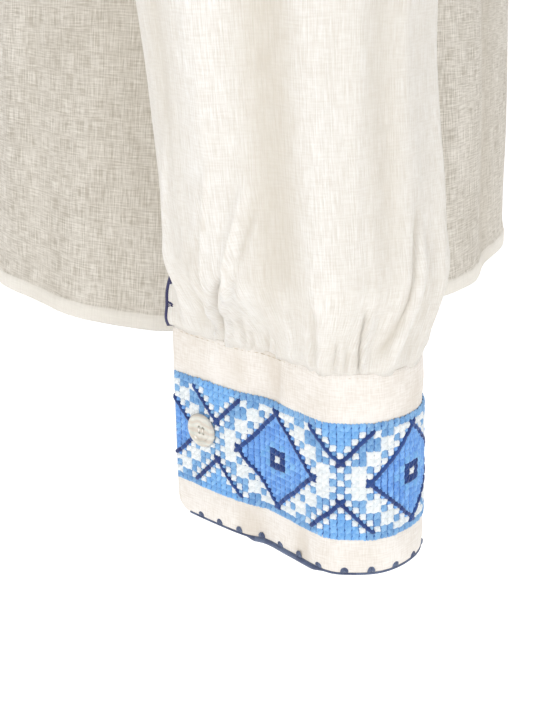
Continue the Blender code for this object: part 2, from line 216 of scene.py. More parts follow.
# %% [markdown]
# ## The body's shape
#
# The body is a loose tube with flat sides. Each ring is an ellipse with its own depth in front and behind,
# and soft folds hang in it from the chest down. Above the underarm every upright line bends in like an
# arc, to the shoulder seam or the neck.

# %% Rings and folds of the body
TORSO = table(
    "z half_width front back",
    (-0.570, 0.2000, 0.145, 0.124),
    (-0.480, 0.1970, 0.141, 0.119),
    (-0.380, 0.1955, 0.135, 0.112),
    (-0.300, 0.2010, 0.131, 0.109),
    (-0.238, 0.2135, 0.128, 0.108),
)
DRAPE = table(
    "angle half_width height top_z",
    (-166, 9, 5.5, -0.27),
    (-140, 10, 6.5, -0.22),
    (-117, 8, 3.0, -0.38),
    (-100, 7, 1.6, -0.44),
    (-66, 9, 4.0, -0.34),
    (-44, 9, 6.5, -0.24),
    (-20, 8, 5.0, -0.30),
    (5, 9, 6.0, -0.26),
    (28, 8, 4.5, -0.33),
    (51, 9, 6.5, -0.24),
    (73, 8, 3.5, -0.36),
    (104, 8, 2.5, -0.40),
    (126, 9, 5.5, -0.28),
    (150, 10, 6.5, -0.23),
    (176, 8, 4.5, -0.30),
)


def hanging_push(angle, z):
    """The sum of the hanging folds' bells, each from nothing at its top to its full height at the hem."""
    push = 0.0
    for fold in rows_of(DRAPE):
        hang = ease((fold["top_z"] - z) / (fold["top_z"] - HEM_Z))
        push = push + fold["height"] * MM * bump(angle, fold["angle"], fold["half_width"]) * hang
    return push


def torso(angle, z):
    """An ellipse at each height, moved out along its normal by the hanging folds."""
    turn = np.radians(angle)
    wide = smooth_read(TORSO, "half_width", z)
    deep = np.where(np.cos(turn) > 0, smooth_read(TORSO, "front", z), smooth_read(TORSO, "back", z))
    out_x, out_y = np.sin(turn) / wide, -np.cos(turn) / deep
    push = hanging_push(angle, z) / np.hypot(out_x, out_y)
    return stack(wide * np.sin(turn) + push * out_x, SIDE_Y - deep * np.cos(turn) + push * out_y, z)


# %% [markdown]
# ## The cuff's line
#
# Seen from above, the shut cuff is not a circle. Its outer side runs nearly straight from the buttoned end
# to the front, with a shallow dent, and the inner side bows back. A smooth curve through a few marks
# gives that line, and its length is measured so that stitches can be counted along it.

# %% Marks of the cuff's line
CUFF_LINE = table(
    "x y",
    (-0.2290, 0.0155),
    (-0.2406, 0.0018),
    (-0.2498, -0.0105),
    (-0.2538, -0.0190),
    (-0.2620, -0.0273),
    (-0.2732, -0.0390),
    (-0.2753, -0.0480),
    (-0.2740, -0.0585),
    (-0.2680, -0.0675),
    (-0.2590, -0.0735),
    (-0.2470, -0.0740),
    (-0.2350, -0.0680),
    (-0.2265, -0.0570),
    (-0.2205, -0.0430),
    (-0.2170, -0.0260),
    (-0.2165, -0.0090),
    (-0.2195, 0.0025),
    (-0.2255, 0.0082),
    (-0.2319, 0.0075),
    (-0.2383, -0.0001),
    (-0.2420, -0.0049),
)


def measured_line():
    """The smooth line through the marks, with the running sum of its short chords as its length."""
    rows = {"row": np.arange(float(len(CUFF_LINE["x"]))), **CUFF_LINE}
    at = np.linspace(0, rows["row"][-1], 4001)
    line = np.stack([smooth_read(rows, column, at) for column in "xy"], axis=-1)
    return lengths(line), *line.T


LINE_LENGTH, LINE_X, LINE_Y = measured_line()
CUFF_LENGTH = LINE_LENGTH[-1]
CUFF_ROUND = CUFF_LENGTH - CUFF_LAP
print(f"cuff: {CUFF_LENGTH * 1000:.1f} mm of cloth, {CUFF_ROUND * 1000:.1f} mm round when buttoned")


def cuff_point(length, share):
    """The line's point at that length, lowered by the share of the depth and drawn in a little at the top."""
    x, y = np.interp(length, LINE_LENGTH, LINE_X), np.interp(length, LINE_LENGTH, LINE_Y)
    y = LINE_Y[0] + (y - LINE_Y[0]) * (1 - CUFF_FLARE * (1 - share))
    return stack(x, y, CUFF_TOP - CUFF_DEPTH * share)


# %% [markdown]
# ## The sleeve's shape
#
# A sleeve is a bent tube: upright at the armhole, level at the wrist. Its rings are tilted, turned
# ellipses. In the last few centimetres they draw in to the cuff's line, and the spare cloth stands up in
# gathers. The tables give the large folds, which the solids have too.

# %% Stations, folds and gathers of the sleeve
SLEEVE = table(
    "along x y z out fore tilt turn",
    (0.000, -0.2135, 0.0030, -0.1450, 0.0930, 0.0500, 90, 0),
    (0.030, -0.2198, 0.0029, -0.1520, 0.0890, 0.0530, 87, 0),
    (0.080, -0.2308, 0.0025, -0.1660, 0.0823, 0.0565, 79, 0),
    (0.190, -0.2425, 0.0000, -0.2010, 0.0680, 0.0605, 64, 0),
    (0.340, -0.2488, -0.0060, -0.2600, 0.0540, 0.0600, 48, -2),
    (0.530, -0.2492, -0.0150, -0.3300, 0.0450, 0.0550, 26, -6),
    (0.700, -0.2475, -0.0215, -0.4000, 0.0410, 0.0500, 8, -11),
    (0.810, -0.2458, -0.0255, -0.4570, 0.0380, 0.0458, 0, -15),
    (0.900, -0.2455, -0.0297, -0.5080, 0.0350, 0.0469, 0, -18),
    (0.965, -0.2452, -0.0315, -0.5400, 0.0335, 0.0475, 0, -19.4),
    (1.000, -0.2450, -0.0310, CUFF_TOP + SEAM_GAP, 0.0335, 0.0475, 0, -19.4),
)
GATHERS = table(
    "angle half_width height reach drift",
    (-74, 8, 2.2, 0.050, 3),
    (-44, 6, 3.2, 0.040, 8),
    (-28, 5, 2.4, 0.026, 2),
    (-7, 8, 2.8, 0.060, 4),
    (26, 11, 3.2, 0.080, -3),
    (57, 6, 3.0, 0.045, 3),
    (79, 7, 3.6, 0.105, 14),
    (104, 8, 3.0, 0.070, 4),
    (128, 7, 2.4, 0.050, 3),
    (149, 8, 3.2, 0.080, -5),
    (174, 7, 2.6, 0.055, 4),
    (197, 8, 3.2, 0.085, -5),
    (221, 7, 2.6, 0.060, 4),
    (245, 8, 2.8, 0.060, -4),
)
GATHER_ROOT = 0.2
GATHER_RISE = 0.012
SLEEVE_FOLDS = table(
    "angle half_width height middle half_length",
    (-35, 16, 2.5, 0.72, 0.20),
    (30, 15, 3.0, 0.62, 0.26),
    (75, 16, -2.5, 0.78, 0.16),
    (140, 18, 3.5, 0.30, 0.16),
    (165, 14, -3.5, 0.42, 0.16),
    (222, 18, 3.5, 0.34, 0.18),
    (-95, 14, -2.5, 0.55, 0.18),
)


def sleeve_push(along, angle, height):
    """The long folds' bells, and the gathers' bells, which rise above the seam and fade up the sleeve."""
    push = 0.0
    for fold in rows_of(SLEEVE_FOLDS):
        ridge = bump(angle, fold["angle"], fold["half_width"])
        push = push + fold["height"] * MM * ridge * bell(along - fold["middle"], fold["half_length"])
    push = push * ease((1 - along) / 0.06) * ease(along / 0.12)
    rise = GATHER_ROOT + (1 - GATHER_ROOT) * ease(height / GATHER_RISE)
    for fold in rows_of(GATHERS):
        fade = 1 - ease((height - GATHER_RISE) / fold["reach"])
        middle = fold["angle"] + fold["drift"] * height / fold["reach"]
        push = push + fold["height"] * MM * bump(angle, middle, fold["half_width"]) * rise * fade
    return push


def sleeve_ring(along, angle):
    """A tilted, turned ellipse at each station, drawn in to the cuff's line near the seam.

    The angle is 0 on the outer side, 90 at the front and -90 at the back, where the slit is.
    """
    value = {column: smooth_read(SLEEVE, column, along) for column in SLEEVE}
    turn, tilt, spin = np.radians(angle), np.radians(value["tilt"]), np.radians(value["turn"])
    across, aft = -value["out"] * np.cos(turn), -value["fore"] * np.sin(turn)
    flat = across * np.cos(tilt)
    scoop = ARMHOLE_SCOOP * np.abs(np.sin(turn)) ** 3 * (1 - ease(along / 0.25))
    centre = stack(value["x"] + scoop, value["y"], value["z"] + 0 * turn)
    ring = stack(
        flat * np.cos(spin) - aft * np.sin(spin),
        flat * np.sin(spin) + aft * np.cos(spin),
        -across * np.sin(tilt),
    )
    height = value["z"] - CUFF_TOP - SEAM_GAP + 0 * turn
    seam = cuff_point((angle + 90) / 360 * CUFF_ROUND, np.array(0.0)) - centre
    seam[..., 2] = 0
    drawn = np.where(height < SEAM_TO_FULL, 1 - ease(height / SEAM_TO_FULL), 0)[..., None]
    ring = ring + (seam - ring) * drawn
    push = sleeve_push(along, angle, height)
    return centre + ring * (1 + push / np.linalg.norm(ring, axis=-1))[..., None]


# %% [markdown]
# ## The chest, shoulders and neck
#
# The front and back end in one line: shoulder seam, neck curve, shoulder seam. The armhole cuts their
# sides away, and it is the sleeve's own first ring, so that the two meet.


# %% Upper part of a panel
def top_edge(side, u):
    """Half an ellipse that dips at the neck, and straight shoulder seams beyond, for u from -1 to 1."""
    share = np.abs(u)
    beta = np.radians(90) * np.clip(u / NECK_SHARE, -1, 1)
    neck = stack(
        NECK_X * np.sin(beta),
        SIDE_Y - FACING[side] * NECK_DEPTH[side] * np.cos(beta),
        NECK_Z - NECK_DROP[side] * np.cos(beta) ** 1.4,
    )
    even = np.clip((share - NECK_SHARE) / (1 - NECK_SHARE), 0, 1)
    start = np.sin(np.radians(90) * NECK_SHARE)
    arc = np.clip((np.sin(np.radians(90) * share) - start) / (1 - start), 0, 1)
    along = 0.5 * even + 0.5 * arc
    shoulder = stack(
        np.sign(u) * (NECK_X + (SHOULDER_X - NECK_X) * along),
        SIDE_Y,
        NECK_Z + (SHOULDER_Z - NECK_Z) * along**1.15,
    )
    return np.where((share < NECK_SHARE)[..., None], neck, shoulder)


def panel_angle(side, u):
    """The body's angle at a share of the panel's half width: 0 in front, 180 behind."""
    return 90 * (1 - FACING[side]) + FACING[side] * 90 * u


def chest(side, u, s):
    """From the underarm ring to the top edge along arcs, pulled out at the side to the armhole's line."""
    rise = np.sin(s * np.radians(SHOULDER_TURN)) / np.sin(np.radians(SHOULDER_TURN))
    level = np.arccos(np.clip(2 * rise - 1, -1, 1))
    kept = 1 - ARMHOLE_CUT * np.sin(level)

    def plain(at):
        near_neck = ease((NECK_SHARE * 1.5 - np.abs(at)) / NECK_SHARE)
        turn = np.radians(SHOULDER_TURN + (CHEST_TURN[side] - SHOULDER_TURN) * near_neck)
        low = torso(panel_angle(side, at), np.array(UNDERARM_Z))
        inwards = (1 - np.cos(s * turn)) / (1 - np.cos(turn))
        upwards = np.sin(s * turn) / np.sin(turn)
        return low + (top_edge(side, at) - low) * stack(inwards, inwards, upwards)

    edge = plain(np.where(u < 0, -1, 1) * kept)
    armhole = sleeve_ring(np.array(0.0), FACING[side] * np.degrees(level))
    armhole = armhole * stack(np.where(u < 0, 1, -1), 1, 1)
    pull = np.clip((np.abs(u) - ARMHOLE_PULL) / (1 - ARMHOLE_PULL), 0, 1) ** 2
    return plain(u * kept) + pull[..., None] * (armhole - edge)


def panel(side, u, v):
    """Front or back: u from -1 to 1 across, v from 0 at the hem to 1 at the underarm and 2 at the top."""
    low = torso(panel_angle(side, u), HEM_Z + (UNDERARM_Z - HEM_Z) * np.clip(v, 0, 1))
    high = chest(side, u, np.clip(v - 1, 0, 1))
    return np.where((v < 1)[..., None], low, high)


# %% [markdown]
# ## From a grid of points to a mesh
#
# A sheet of cloth is a grid: rows go up, columns go round. The mesh is filled with whole arrays. Each
# corner also gets the cloth's own measure in metres as its UV map, so a weave keeps its size everywhere.
# A sleeve's last column joins its first, except along the slit.


# %% Grid to mesh
def grid_faces(index):
    """The four corners of every cell of a grid of point numbers."""
    return np.stack([index[:-1, :-1], index[:-1, 1:], index[1:, 1:], index[1:, :-1]], axis=-1).reshape(-1, 4)


def grid_mesh(name, points, cloth, ring=False, open_rows=0):
    """Quads between neighbouring grid points; a ring's last column shares the first one's points."""
    plain = np.arange(points[..., 0].size).reshape(points.shape[:2])
    index = plain.copy()
    if ring:
        index[open_rows:, -1] = index[open_rows:, 0]
    used, loops = np.unique(grid_faces(index), return_inverse=True)
    uv = cloth.reshape(-1, 2)[grid_faces(plain).ravel()]
    return fill_mesh(name, points.reshape(-1, 3)[used], loops.reshape(-1, 4), uv)


def fill_mesh(name, points, faces, uv):
    """A mesh of faces with the same number of corners each, set from whole arrays."""
    size = faces.shape[1]
    mesh = bpy.data.meshes.new(name)
    mesh.vertices.add(len(points))
    mesh.vertices.foreach_set("co", np.ascontiguousarray(points, dtype=np.float32).ravel())
    mesh.loops.add(faces.size)
    mesh.loops.foreach_set("vertex_index", faces.astype(np.int32).ravel())
    mesh.polygons.add(len(faces))
    mesh.polygons.foreach_set("loop_start", np.arange(0, faces.size, size, dtype=np.int32))
    mesh.polygons.foreach_set("use_smooth", np.ones(len(faces), dtype=bool))
    mesh.uv_layers.new(name="cloth").data.foreach_set("uv", uv.astype(np.float32).ravel())
    mesh.update(calc_edges=True)
    mesh.validate()
    return mesh


def mark(mesh, name, values):
    """A number for each point of the mesh, for its material to read."""
    data = mesh.attributes.new(name, "FLOAT", "POINT").data
    data.foreach_set("value", values.ravel().astype(np.float32))


# %% Directions, pieces and both sides
def normals(points):
    """Cross product of the steps along the columns and up the rows, at length one."""
    return unit(np.cross(np.gradient(points, axis=1), np.gradient(points, axis=0)))


def show(mesh, material, nodes=(), wall=0.0):
    """Puts a mesh in the scene as a piece: it rides on the root, may replace nodes, and may get a wall."""
    obj = bpy.data.objects.new(mesh.name, mesh)
    bpy.context.scene.collection.objects.link(obj)
    mesh.materials.append(material)
    if wall:
        solid = obj.modifiers.new("wall", "SOLIDIFY")
        solid.thickness = wall
        solid.offset = 0
        solid.use_even_offset = False
    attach(obj, "root")
    if nodes:
        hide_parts(*nodes)
    return obj


def on_both_sides(points, *values):
    """Each side's name and its grids: as they are on the right, and the mirror image on the left.

    The mirror image has its columns reversed, so that it still faces out.
    """
    yield "right", points, *values
    yield "left", (points * MIRROR)[:, ::-1], *(value[:, ::-1] for value in values)


def area_of(points):
    """Sum of the areas of a grid's cells, each from its two diagonals."""
    across = points[1:, 1:] - points[:-1, :-1]
    back = points[1:, :-1] - points[:-1, 1:]
    return float(np.linalg.norm(np.cross(across, back), axis=-1).sum() / 2)


# %% [markdown]
# ## Shader maths that reads as sums
#
# A shader is a sum of noises and waves. Wrapping each socket in a small class lets a line of Python stand
# for the Math nodes, and one method makes any other node.


# %% Socket sums and nodes
class Socket:
    """An output socket that adds Math nodes when Python's operators are used on it."""

    def __init__(self, look, socket):
        self.look, self.socket = look, socket

    def math(self, operation, *values):
        return self.look.node("Math", {"operation": operation}, dict(enumerate(values)))

    def sine(self):
        return self.math("SINE", self)

    def __add__(self, other):
        return self.math("ADD", self, other)

    def __sub__(self, other):
        return self.math("SUBTRACT", self, other)

    def __rsub__(self, other):
        return self.math("SUBTRACT", other, self)

    def __mul__(self, other):
        return self.math("MULTIPLY", self, other)

    __radd__ = __add__
    __rmul__ = __mul__


# %% Display colours
def linear(*srgb):
    """Display colour, 0 to 255, to the linear colour that a shader takes."""
    share = np.array(srgb) / 255
    bright = np.where(share <= 0.04045, share / 12.92, ((share + 0.055) / 1.055) ** 2.4)
    return (*(float(x) for x in bright), 1.0)


# %% A material and its nodes
class Look:
    """A material, its Principled shader, and the few kinds of node that cloth and thread need."""

    def __init__(self, name):
        self.material = bpy.data.materials.new(name)
        self.material.use_nodes = True
        self.tree = self.material.node_tree
        self.principled = self.tree.nodes["Principled BSDF"]

    def node(self, kind, settings=None, inputs=None, output=0):
        """Adds a node: its settings first, then the values or links of its sockets."""
        made = self.tree.nodes.new("ShaderNode" + kind)
        for name, value in (settings or {}).items():
            setattr(made, name, value)
        self.fill(made, inputs or {})
        return Socket(self, made.outputs[output])

    def fill(self, node, inputs):
        """Gives a node's sockets, by name or by number, their values or links."""
        for key, value in inputs.items():
            if isinstance(value, Socket):
                self.tree.links.new(value.socket, node.inputs[key])
            else:
                node.inputs[key].default_value = value

    def cloth(self):
        """The cloth's own measure in metres."""
        return self.node("UVMap", {"uv_map": "cloth"})

    def attribute(self, name):
        """A number that the mesh carries."""
        return self.node("Attribute", {"attribute_name": name}, output=2)

    def threads(self, across, along, detail=2.0):
        """Noise squeezed across the yarn and stretched along it, so that it reads as single threads."""
        scale = {0: self.cloth(), 1: (across, along, 1)}
        scaled = self.node("VectorMath", {"operation": "MULTIPLY"}, scale)
        noise = {"Vector": scaled, "Scale": 1.0, "Detail": detail, "Roughness": 0.6}
        return self.node("TexNoise", {"noise_dimensions": "2D"}, noise)

    def spread(self, value, low, high):
        """The value's share of the way from low to high."""
        return self.node("MapRange", {}, {0: value, 1: low, 2: high})

    def mix(self, share, first, second):
        """Two colours mixed; each is a display colour or a socket."""
        first, second = (tone if isinstance(tone, Socket) else linear(*tone) for tone in (first, second))
        return self.node("Mix", {"data_type": "RGBA"}, {0: share, 6: first, 7: second}, output=2)

    def bump(self, height, strength, distance):
        """A height as small slopes in the light."""
        return self.node("Bump", {}, {"Strength": strength, "Distance": distance, "Height": height})

    def surface(self, colour, roughness, **inputs):
        """Sets the Principled shader; an input's name is written with _ for each space."""
        named = {key.replace("_", " "): value for key, value in inputs.items()}
        self.fill(self.principled, {"Base Color": colour, "Roughness": roughness, **named})
        return self.material


# %% [markdown]
# ## The gauze
#
# The cloth is a thin open plain weave of uneven cotton yarn. Close to, thick and thin threads show as
# short pale streaks both ways. Two stretched noises, one for the warp and one for the weft, read the
# cloth's own measure, and they set both the colour and a small bump. Some light goes through such cloth,
# so part of the shader is translucent. In the hollow of a fold the colour is painted darker and warmer, as
# painted shade. A mesh carries that depth as an attribute.

# %% Gauze material
YARN = 0.00055
SLUB = 0.008
CLOUD_SHARE = 0.12


def gauze(name, pale, deep, painted_shade_tone, through, weft_share, hem=None):
    """Plain weave: warp and weft noises mix two tones, lift the bump, and let a little light through."""
    look = Look(name)
    warp, weft = look.threads(1 / YARN, 1 / SLUB), look.threads(1 / SLUB, 1 / YARN)
    weave = warp * (1 - weft_share) + weft * weft_share
    tone = weave * (1 - CLOUD_SHARE) + look.threads(60.0, 22.0) * CLOUD_SHARE
    colour = look.mix(look.spread(tone, 0.36, 0.64), deep, pale)
    if hem:
        up = look.node("SeparateXYZ", {}, {0: look.cloth()}, output=1)
        folded = look.spread(up, HEM_FOLD + 0.0004, HEM_FOLD - 0.0003)
        colour = look.mix(folded * 0.8, colour, hem)
    # Painted shade: the colour goes towards the shade tone where the mesh marks the hollow of a fold.
    colour = look.mix(look.attribute("painted_shade") * 0.58, colour, painted_shade_tone)
    lift = look.bump(weave, 0.6, 0.0004)
    look.surface(colour, 0.92, Normal=lift, Specular_IOR_Level=0.2, Sheen_Weight=0.15, Sheen_Roughness=0.5)
    glow = look.node("BsdfTranslucent", {}, {"Color": linear(*pale), "Normal": lift})
    cloth = Socket(look, look.principled.outputs[0])
    both = look.node("MixShader", {}, {0: through, 1: cloth, 2: glow})
    look.fill(look.tree.nodes["Material Output"], {"Surface": both})
    return look.material


SLEEVE_GAUZE = gauze("gauze_sleeve", (255, 253, 249), (232, 226, 217), (216, 207, 191), 0.22, 0.3)
# Painted shade: the body is the same gauze as the sleeves, in darker tones for the shade it hangs in.
SHADED_BODY_TONES = (243, 238, 229), (179, 171, 157), (195, 186, 170)
SHADED_BODY_GAUZE = gauze("gauze_body_shaded", *SHADED_BODY_TONES, 0.20, 0.45, hem=(248, 244, 236))
print("gauze: yarn every", YARN * 1000, "mm")

# %% [markdown]
# ## The closer cotton of the cuffs
#
# The cuffs and the neck band are two layers of a smoother cloth. The weave hardly shows, so the same
# threads are used with less contrast and no light going through. Hollows get painted shade here too.


# %% Cuff cotton material
def close_cotton(name, pale, deep, painted_shade_tone):
    """Fine weave: two thread noises at low contrast over a soft cloud; painted shade darkens the hollows."""
    look = Look(name)
    weave = look.threads(2000.0, 220.0, 1.0) + look.threads(220.0, 2000.0, 1.0)
    tone = weave * 0.3 + look.threads(45.0, 30.0) * 0.4
    colour = look.mix(look.spread(tone, 0.35, 0.6), deep, pale)
    # Painted shade: the colour goes towards the shade tone in the hollows that the mesh marks.
    colour = look.mix(look.attribute("painted_shade") * 0.5, colour, painted_shade_tone)
    return look.surface(colour, 0.85, Normal=look.bump(weave, 0.3, 0.0002), Specular_IOR_Level=0.25)


CUFF_COTTON = close_cotton("cuff_cotton", (236, 231, 225), (219, 211, 201), (206, 195, 180))
print("cuff cotton: threads every 0.5 mm")

# %% [markdown]
# ## Front and back
#
# Each panel is one sheet from the hem to the shoulders. The hem is folded twice, so its last millimetres
# are three layers thick and stand out a little. Along the side, shoulder and armhole seams the cloth
# dips, as it does where a seam allowance pulls it in. Creases are straight lines between two marks on
# the flat panel, in millimetres across from its middle and up from its hem.

# %% Sizes and creases of the panels
PANEL_COLUMNS = 180
HEM_ROWS = 10
BODY_ROWS = 72
CHEST_ROWS = 58
SEAM_DIP = 0.0006
SEAM_DIP_WIDTH = 0.0022
SEAM_CALM = 0.006
HEM_STEP = 0.0007
HEM_SOFT = 0.0008
HEM_LAYERS = 3
HEM_WAVE = 0.0011
MEAN_FOLD = 0.002
PAINTED_SHADE_DEPTH = 0.0055
CREASE_COLUMNS = "low_across low_along high_across high_along half_width push"
PANEL_CREASES = {
    "front": table(
        CREASE_COLUMNS,
        (-168, 10, -150, 270, 10, 1.6),
        (-112, 0, -128, 215, 9, -1.8),
        (-46, 20, -60, 300, 12, 1.5),
        (18, 0, 10, 190, 10, -1.6),
        (66, 30, 78, 330, 12, 1.4),
        (121, 0, 133, 240, 9, -1.9),
        (176, 20, 160, 260, 10, 1.5),
        (-214, 318, -128, 262, 7, -1.8),
        (-206, 350, -100, 318, 8, 1.6),
        (212, 322, 140, 268, 7, -1.7),
        (204, 356, 92, 330, 8, 1.5),
        (-118, 520, -150, 400, 9, -1.5),
        (124, 515, 158, 410, 9, -1.4),
        (-80, 440, 75, 425, 11, 1.2),
    ),
    "back": table(
        CREASE_COLUMNS,
        (-160, 0, -142, 250, 10, -1.7),
        (-98, 20, -110, 310, 11, 1.6),
        (-30, 0, -40, 230, 10, -1.6),
        (34, 15, 26, 340, 12, 1.5),
        (94, 0, 108, 220, 9, -1.8),
        (158, 20, 146, 280, 10, 1.6),
        (-208, 325, -118, 275, 7, -1.7),
        (-200, 362, -104, 340, 8, 1.5),
        (210, 320, 126, 266, 7, -1.8),
        (202, 358, 98, 326, 8, 1.6),
        (-110, 560, -150, 450, 10, -1.4),
        (112, 555, 146, 440, 10, -1.5),
    ),
}


# %% Panel grid
def panel_rows():
    """Heights as v: close rows in the hem, even rows to the underarm, then even turns to the shoulder."""
    hem = HEM_FOLD / (UNDERARM_Z - HEM_Z) * 1.3
    rise = 0.5 - 0.5 * np.cos(np.linspace(0, np.pi, CHEST_ROWS + 1))
    turn = np.radians(SHOULDER_TURN)
    upper = 1 + np.arcsin(rise * np.sin(turn)) / turn
    return np.concatenate([np.linspace(0, hem, HEM_ROWS), np.linspace(hem, 1, BODY_ROWS)[1:-1], upper])


def panel_columns():
    """Widths as u, closer together at the sides, where the armhole curves."""
    t = np.linspace(-1, 1, PANEL_COLUMNS + 1)
    return t - 0.12 * np.sin(np.pi * t) / np.pi


def crinkle(across, along, seed, wrap=0):
    """Upright streaks a few millimetres wide, in three sizes, as thin cotton has after washing."""
    lift = 0.0
    for step, (wide, long, height) in enumerate(((4, 35, 0.22), (11, 80, 0.55), (2.2, 12, 0.07))):
        columns = wrap and round(wrap / (wide * MM))
        streak = value_noise(across / (wide * MM), along / (long * MM), seed + step, columns)
        lift = lift + height * MM * streak
    return lift


def panel_crease_push(side, across, along):
    """Bells about straight lines on the panel, which fade at both ends."""
    push = 0.0
    for crease in rows_of(PANEL_CREASES[side]):
        run_x = (crease["high_across"] - crease["low_across"]) * MM
        run_y = (crease["high_along"] - crease["low_along"]) * MM
        length = np.hypot(run_x, run_y)
        x, y = across - crease["low_across"] * MM, along - crease["low_along"] * MM
        reach = (x * run_x + y * run_y) / length**2
        away = (x * run_y - y * run_x) / length
        ends = ease(reach / 0.25 + 0.3) * ease((1 - reach) / 0.35)
        push = push + crease["push"] * MM * bell(away, crease["half_width"] * MM) * ends
    return push


def make_panel(side, seed):
    """A panel's grid, moved along its normals by crinkle, seam dip and hem."""
    v, u = np.meshgrid(panel_rows(), panel_columns(), indexing="ij")
    points = panel(side, u, v)
    if side == "back":
        points, u = points[:, ::-1], u[:, ::-1]
    out = normals(points)
    across = lengths(points, axis=1)
    across -= across.mean(axis=1, keepdims=True)
    along = lengths(points)
    to_side = np.minimum(across - across[:, :1], across[:, -1:] - across)
    to_top = along[-1] - along
    dip = SEAM_DIP * (bell(to_side, SEAM_DIP_WIDTH) + bell(to_top, SEAM_DIP_WIDTH))
    hem = HEM_STEP * (1 - ease((along - HEM_FOLD) / HEM_SOFT + 0.5))
    calm = ease(np.minimum(to_side, to_top) / SEAM_CALM)
    creases = panel_crease_push(side, across, along) * calm
    streaks = crinkle(across, along, seed) * calm * (0.25 + 0.75 * ease(along / 0.02))
    pulled = 0.5 * MM * value_noise(across / 0.0035, along / 0.004, seed + 5) * bell(along - HEM_FOLD, 0.004)
    folds = hanging_push(panel_angle(side, u), HEM_Z + (UNDERARM_Z - HEM_Z) * v) - MEAN_FOLD
    points = points + out * (streaks + creases + pulled - dip + hem)[..., None]
    wave = value_noise(across / 0.017, 0.5 + 0 * along, seed + 7) * (1 - ease(along / 0.025))
    points[..., 2] += HEM_WAVE * wave
    mesh = grid_mesh(f"{side}_cloth", points, np.stack([across, along], axis=-1))
    # Painted shade: the troughs of creases and hanging folds are marked for the darker, warmer tone.
    mark(mesh, "painted_shade", ease(0.30 - (creases + 0.5 * folds) / PAINTED_SHADE_DEPTH))
    obj = show(mesh, SHADED_BODY_GAUZE, [side], CLOTH_WALL * HEM_LAYERS)
    folded = obj.vertex_groups.new(name="hem")
    folded.add(list(range(HEM_ROWS * points.shape[1])), 1.0, "REPLACE")
    obj.modifiers["wall"].vertex_group = folded.name
    obj.modifiers["wall"].thickness_vertex_group = 1 / HEM_LAYERS
    print(f"{side}: {area_of(points):.4f} square metres, {np.ptp(across[0]):.3f} m at the hem")
    return obj, points, out


front, front_points, front_out = make_panel("front", 11)
back, back_points, back_out = make_panel("back", 23)

# %% [markdown]
# ## Sleeves
#
# The sleeve is a tube of the same gauze. Low down, its rows are about a millimetre apart, so that the
# gathers and the fine puckers at the cuff are real shapes. Sharp creases run up from the seam where the
# cloth was pleated by hand. Each is a narrow line between two marks, given by angle and by millimetres
# above the seam, pushed out as a ridge or in as a trough.

# %% Creases of the sleeve
SLEEVE_COLUMNS = 280
FINER_OUTSIDE = 0.5
SLEEVE_CLOTH_WIDTH = 0.42
GATHER_TOP = 0.11
GATHER_ROWS = 92
ARM_ROWS = 58
SLIT_HALF_TURN = 1.3
CREASES = table(
    "low_angle low_height high_angle high_height half_width push",
    (-48, 0, -12, 40, 1.4, -2.3),
    (-44, 0, -8.5, 40, 1.5, 1.6),
    (-22, 22, -5, 68, 1.5, 1.9),
    (-18, 24, -1.5, 62, 1.6, -1.2),
    (-55, 0, -31, 24, 1.4, 1.6),
    (-31, 20, -19.5, 72, 1.4, 1.5),
    (-34.5, 21, -23, 66, 1.6, -1.1),
    (-65, 0, -28, 46, 4.5, -1.6),
    (-74, 2, -44, 85, 3.2, 1.3),
    (-33, 0, -20, 19, 1.4, -1.1),
    (-27.5, 0, -23, 9, 1.4, -1.1),
    (-18.5, 0, -14, 10, 1.4, -1.1),
    (-12.5, 0, -9, 8, 1.4, -1.0),
    (1, 0, 5, 34, 3.5, 1.8),
    (18, 0, 14, 30, 1.9, -1.8),
    (43, 0, 37.5, 26, 1.5, -1.9),
    (46, 0, 41, 24, 1.6, 1.2),
    (29, 0, 27, 13, 1.4, -1.0),
    (35, 0, 35, 10, 1.4, -0.9),
    (52, 4, 68, 62, 2.4, -2.3),
    (60, 0, 70, 50, 2.6, 1.5),
    (-21, 12, -17, 300, 8, 2.8),
    (3, 8, 4.5, 300, 8.5, -3.4),
    (19, 8, 19.5, 280, 6, 1.1),
    (47, 30, 52, 290, 9, -1.8),
    (-45, 60, -40, 290, 8, -1.8),
    (108, 0, 112, 30, 1.8, -1.6),
    (131, 0, 126, 42, 2, 1.6),
    (155, 0, 162, 24, 1.9, -1.6),
    (176, 0, 171, 50, 2.2, 1.6),
    (196, 0, 203, 34, 2, -1.7),
    (215, 0, 209, 22, 1.9, 1.3),
    (238, 0, 246, 46, 2.1, -1.7),
    (143, 20, 150, 290, 8, 2.6),
    (190, 20, 184, 260, 8, -2.4),
)
TUCK_IN = 0.0016
PUFF = 0.0009
PUFF_HEIGHT = 0.0035
SLIT_FLARE = 0.0021
SLIT_FLARE_TURN = 9.0
SLIT_FLARE_HEIGHT = 0.023
ARMHOLE_GAP = 0.0003


# %% Sleeve grid
def sleeve_rows():
    """Stations along the sleeve: even heights above the seam, then even steps up to the armhole."""
    fine = np.linspace(1, 0, 4001)
    height = smooth_read(SLEEVE, "z", fine) - CUFF_TOP - SEAM_GAP
    low = np.interp(np.linspace(0, GATHER_TOP, GATHER_ROWS), height, fine)
    return np.concatenate([low, np.linspace(low[-1], 0, ARM_ROWS + 1)[1:]])


def crease_push(angle, height):
    """Bells about straight lines on the unrolled sleeve, which fade out at both ends of each line."""
    push = 0.0
    for crease in rows_of(CREASES):
        rise = (crease["high_height"] - crease["low_height"]) * MM
        reach = (height - crease["low_height"] * MM) / rise
        middle = crease["low_angle"] + (crease["high_angle"] - crease["low_angle"]) * reach
        ends = ease(reach / 0.15 + 0.3) * ease((1 - reach) / 0.35)
        push = push + crease["push"] * MM * bump(angle, middle, crease["half_width"]) * ends
    return push


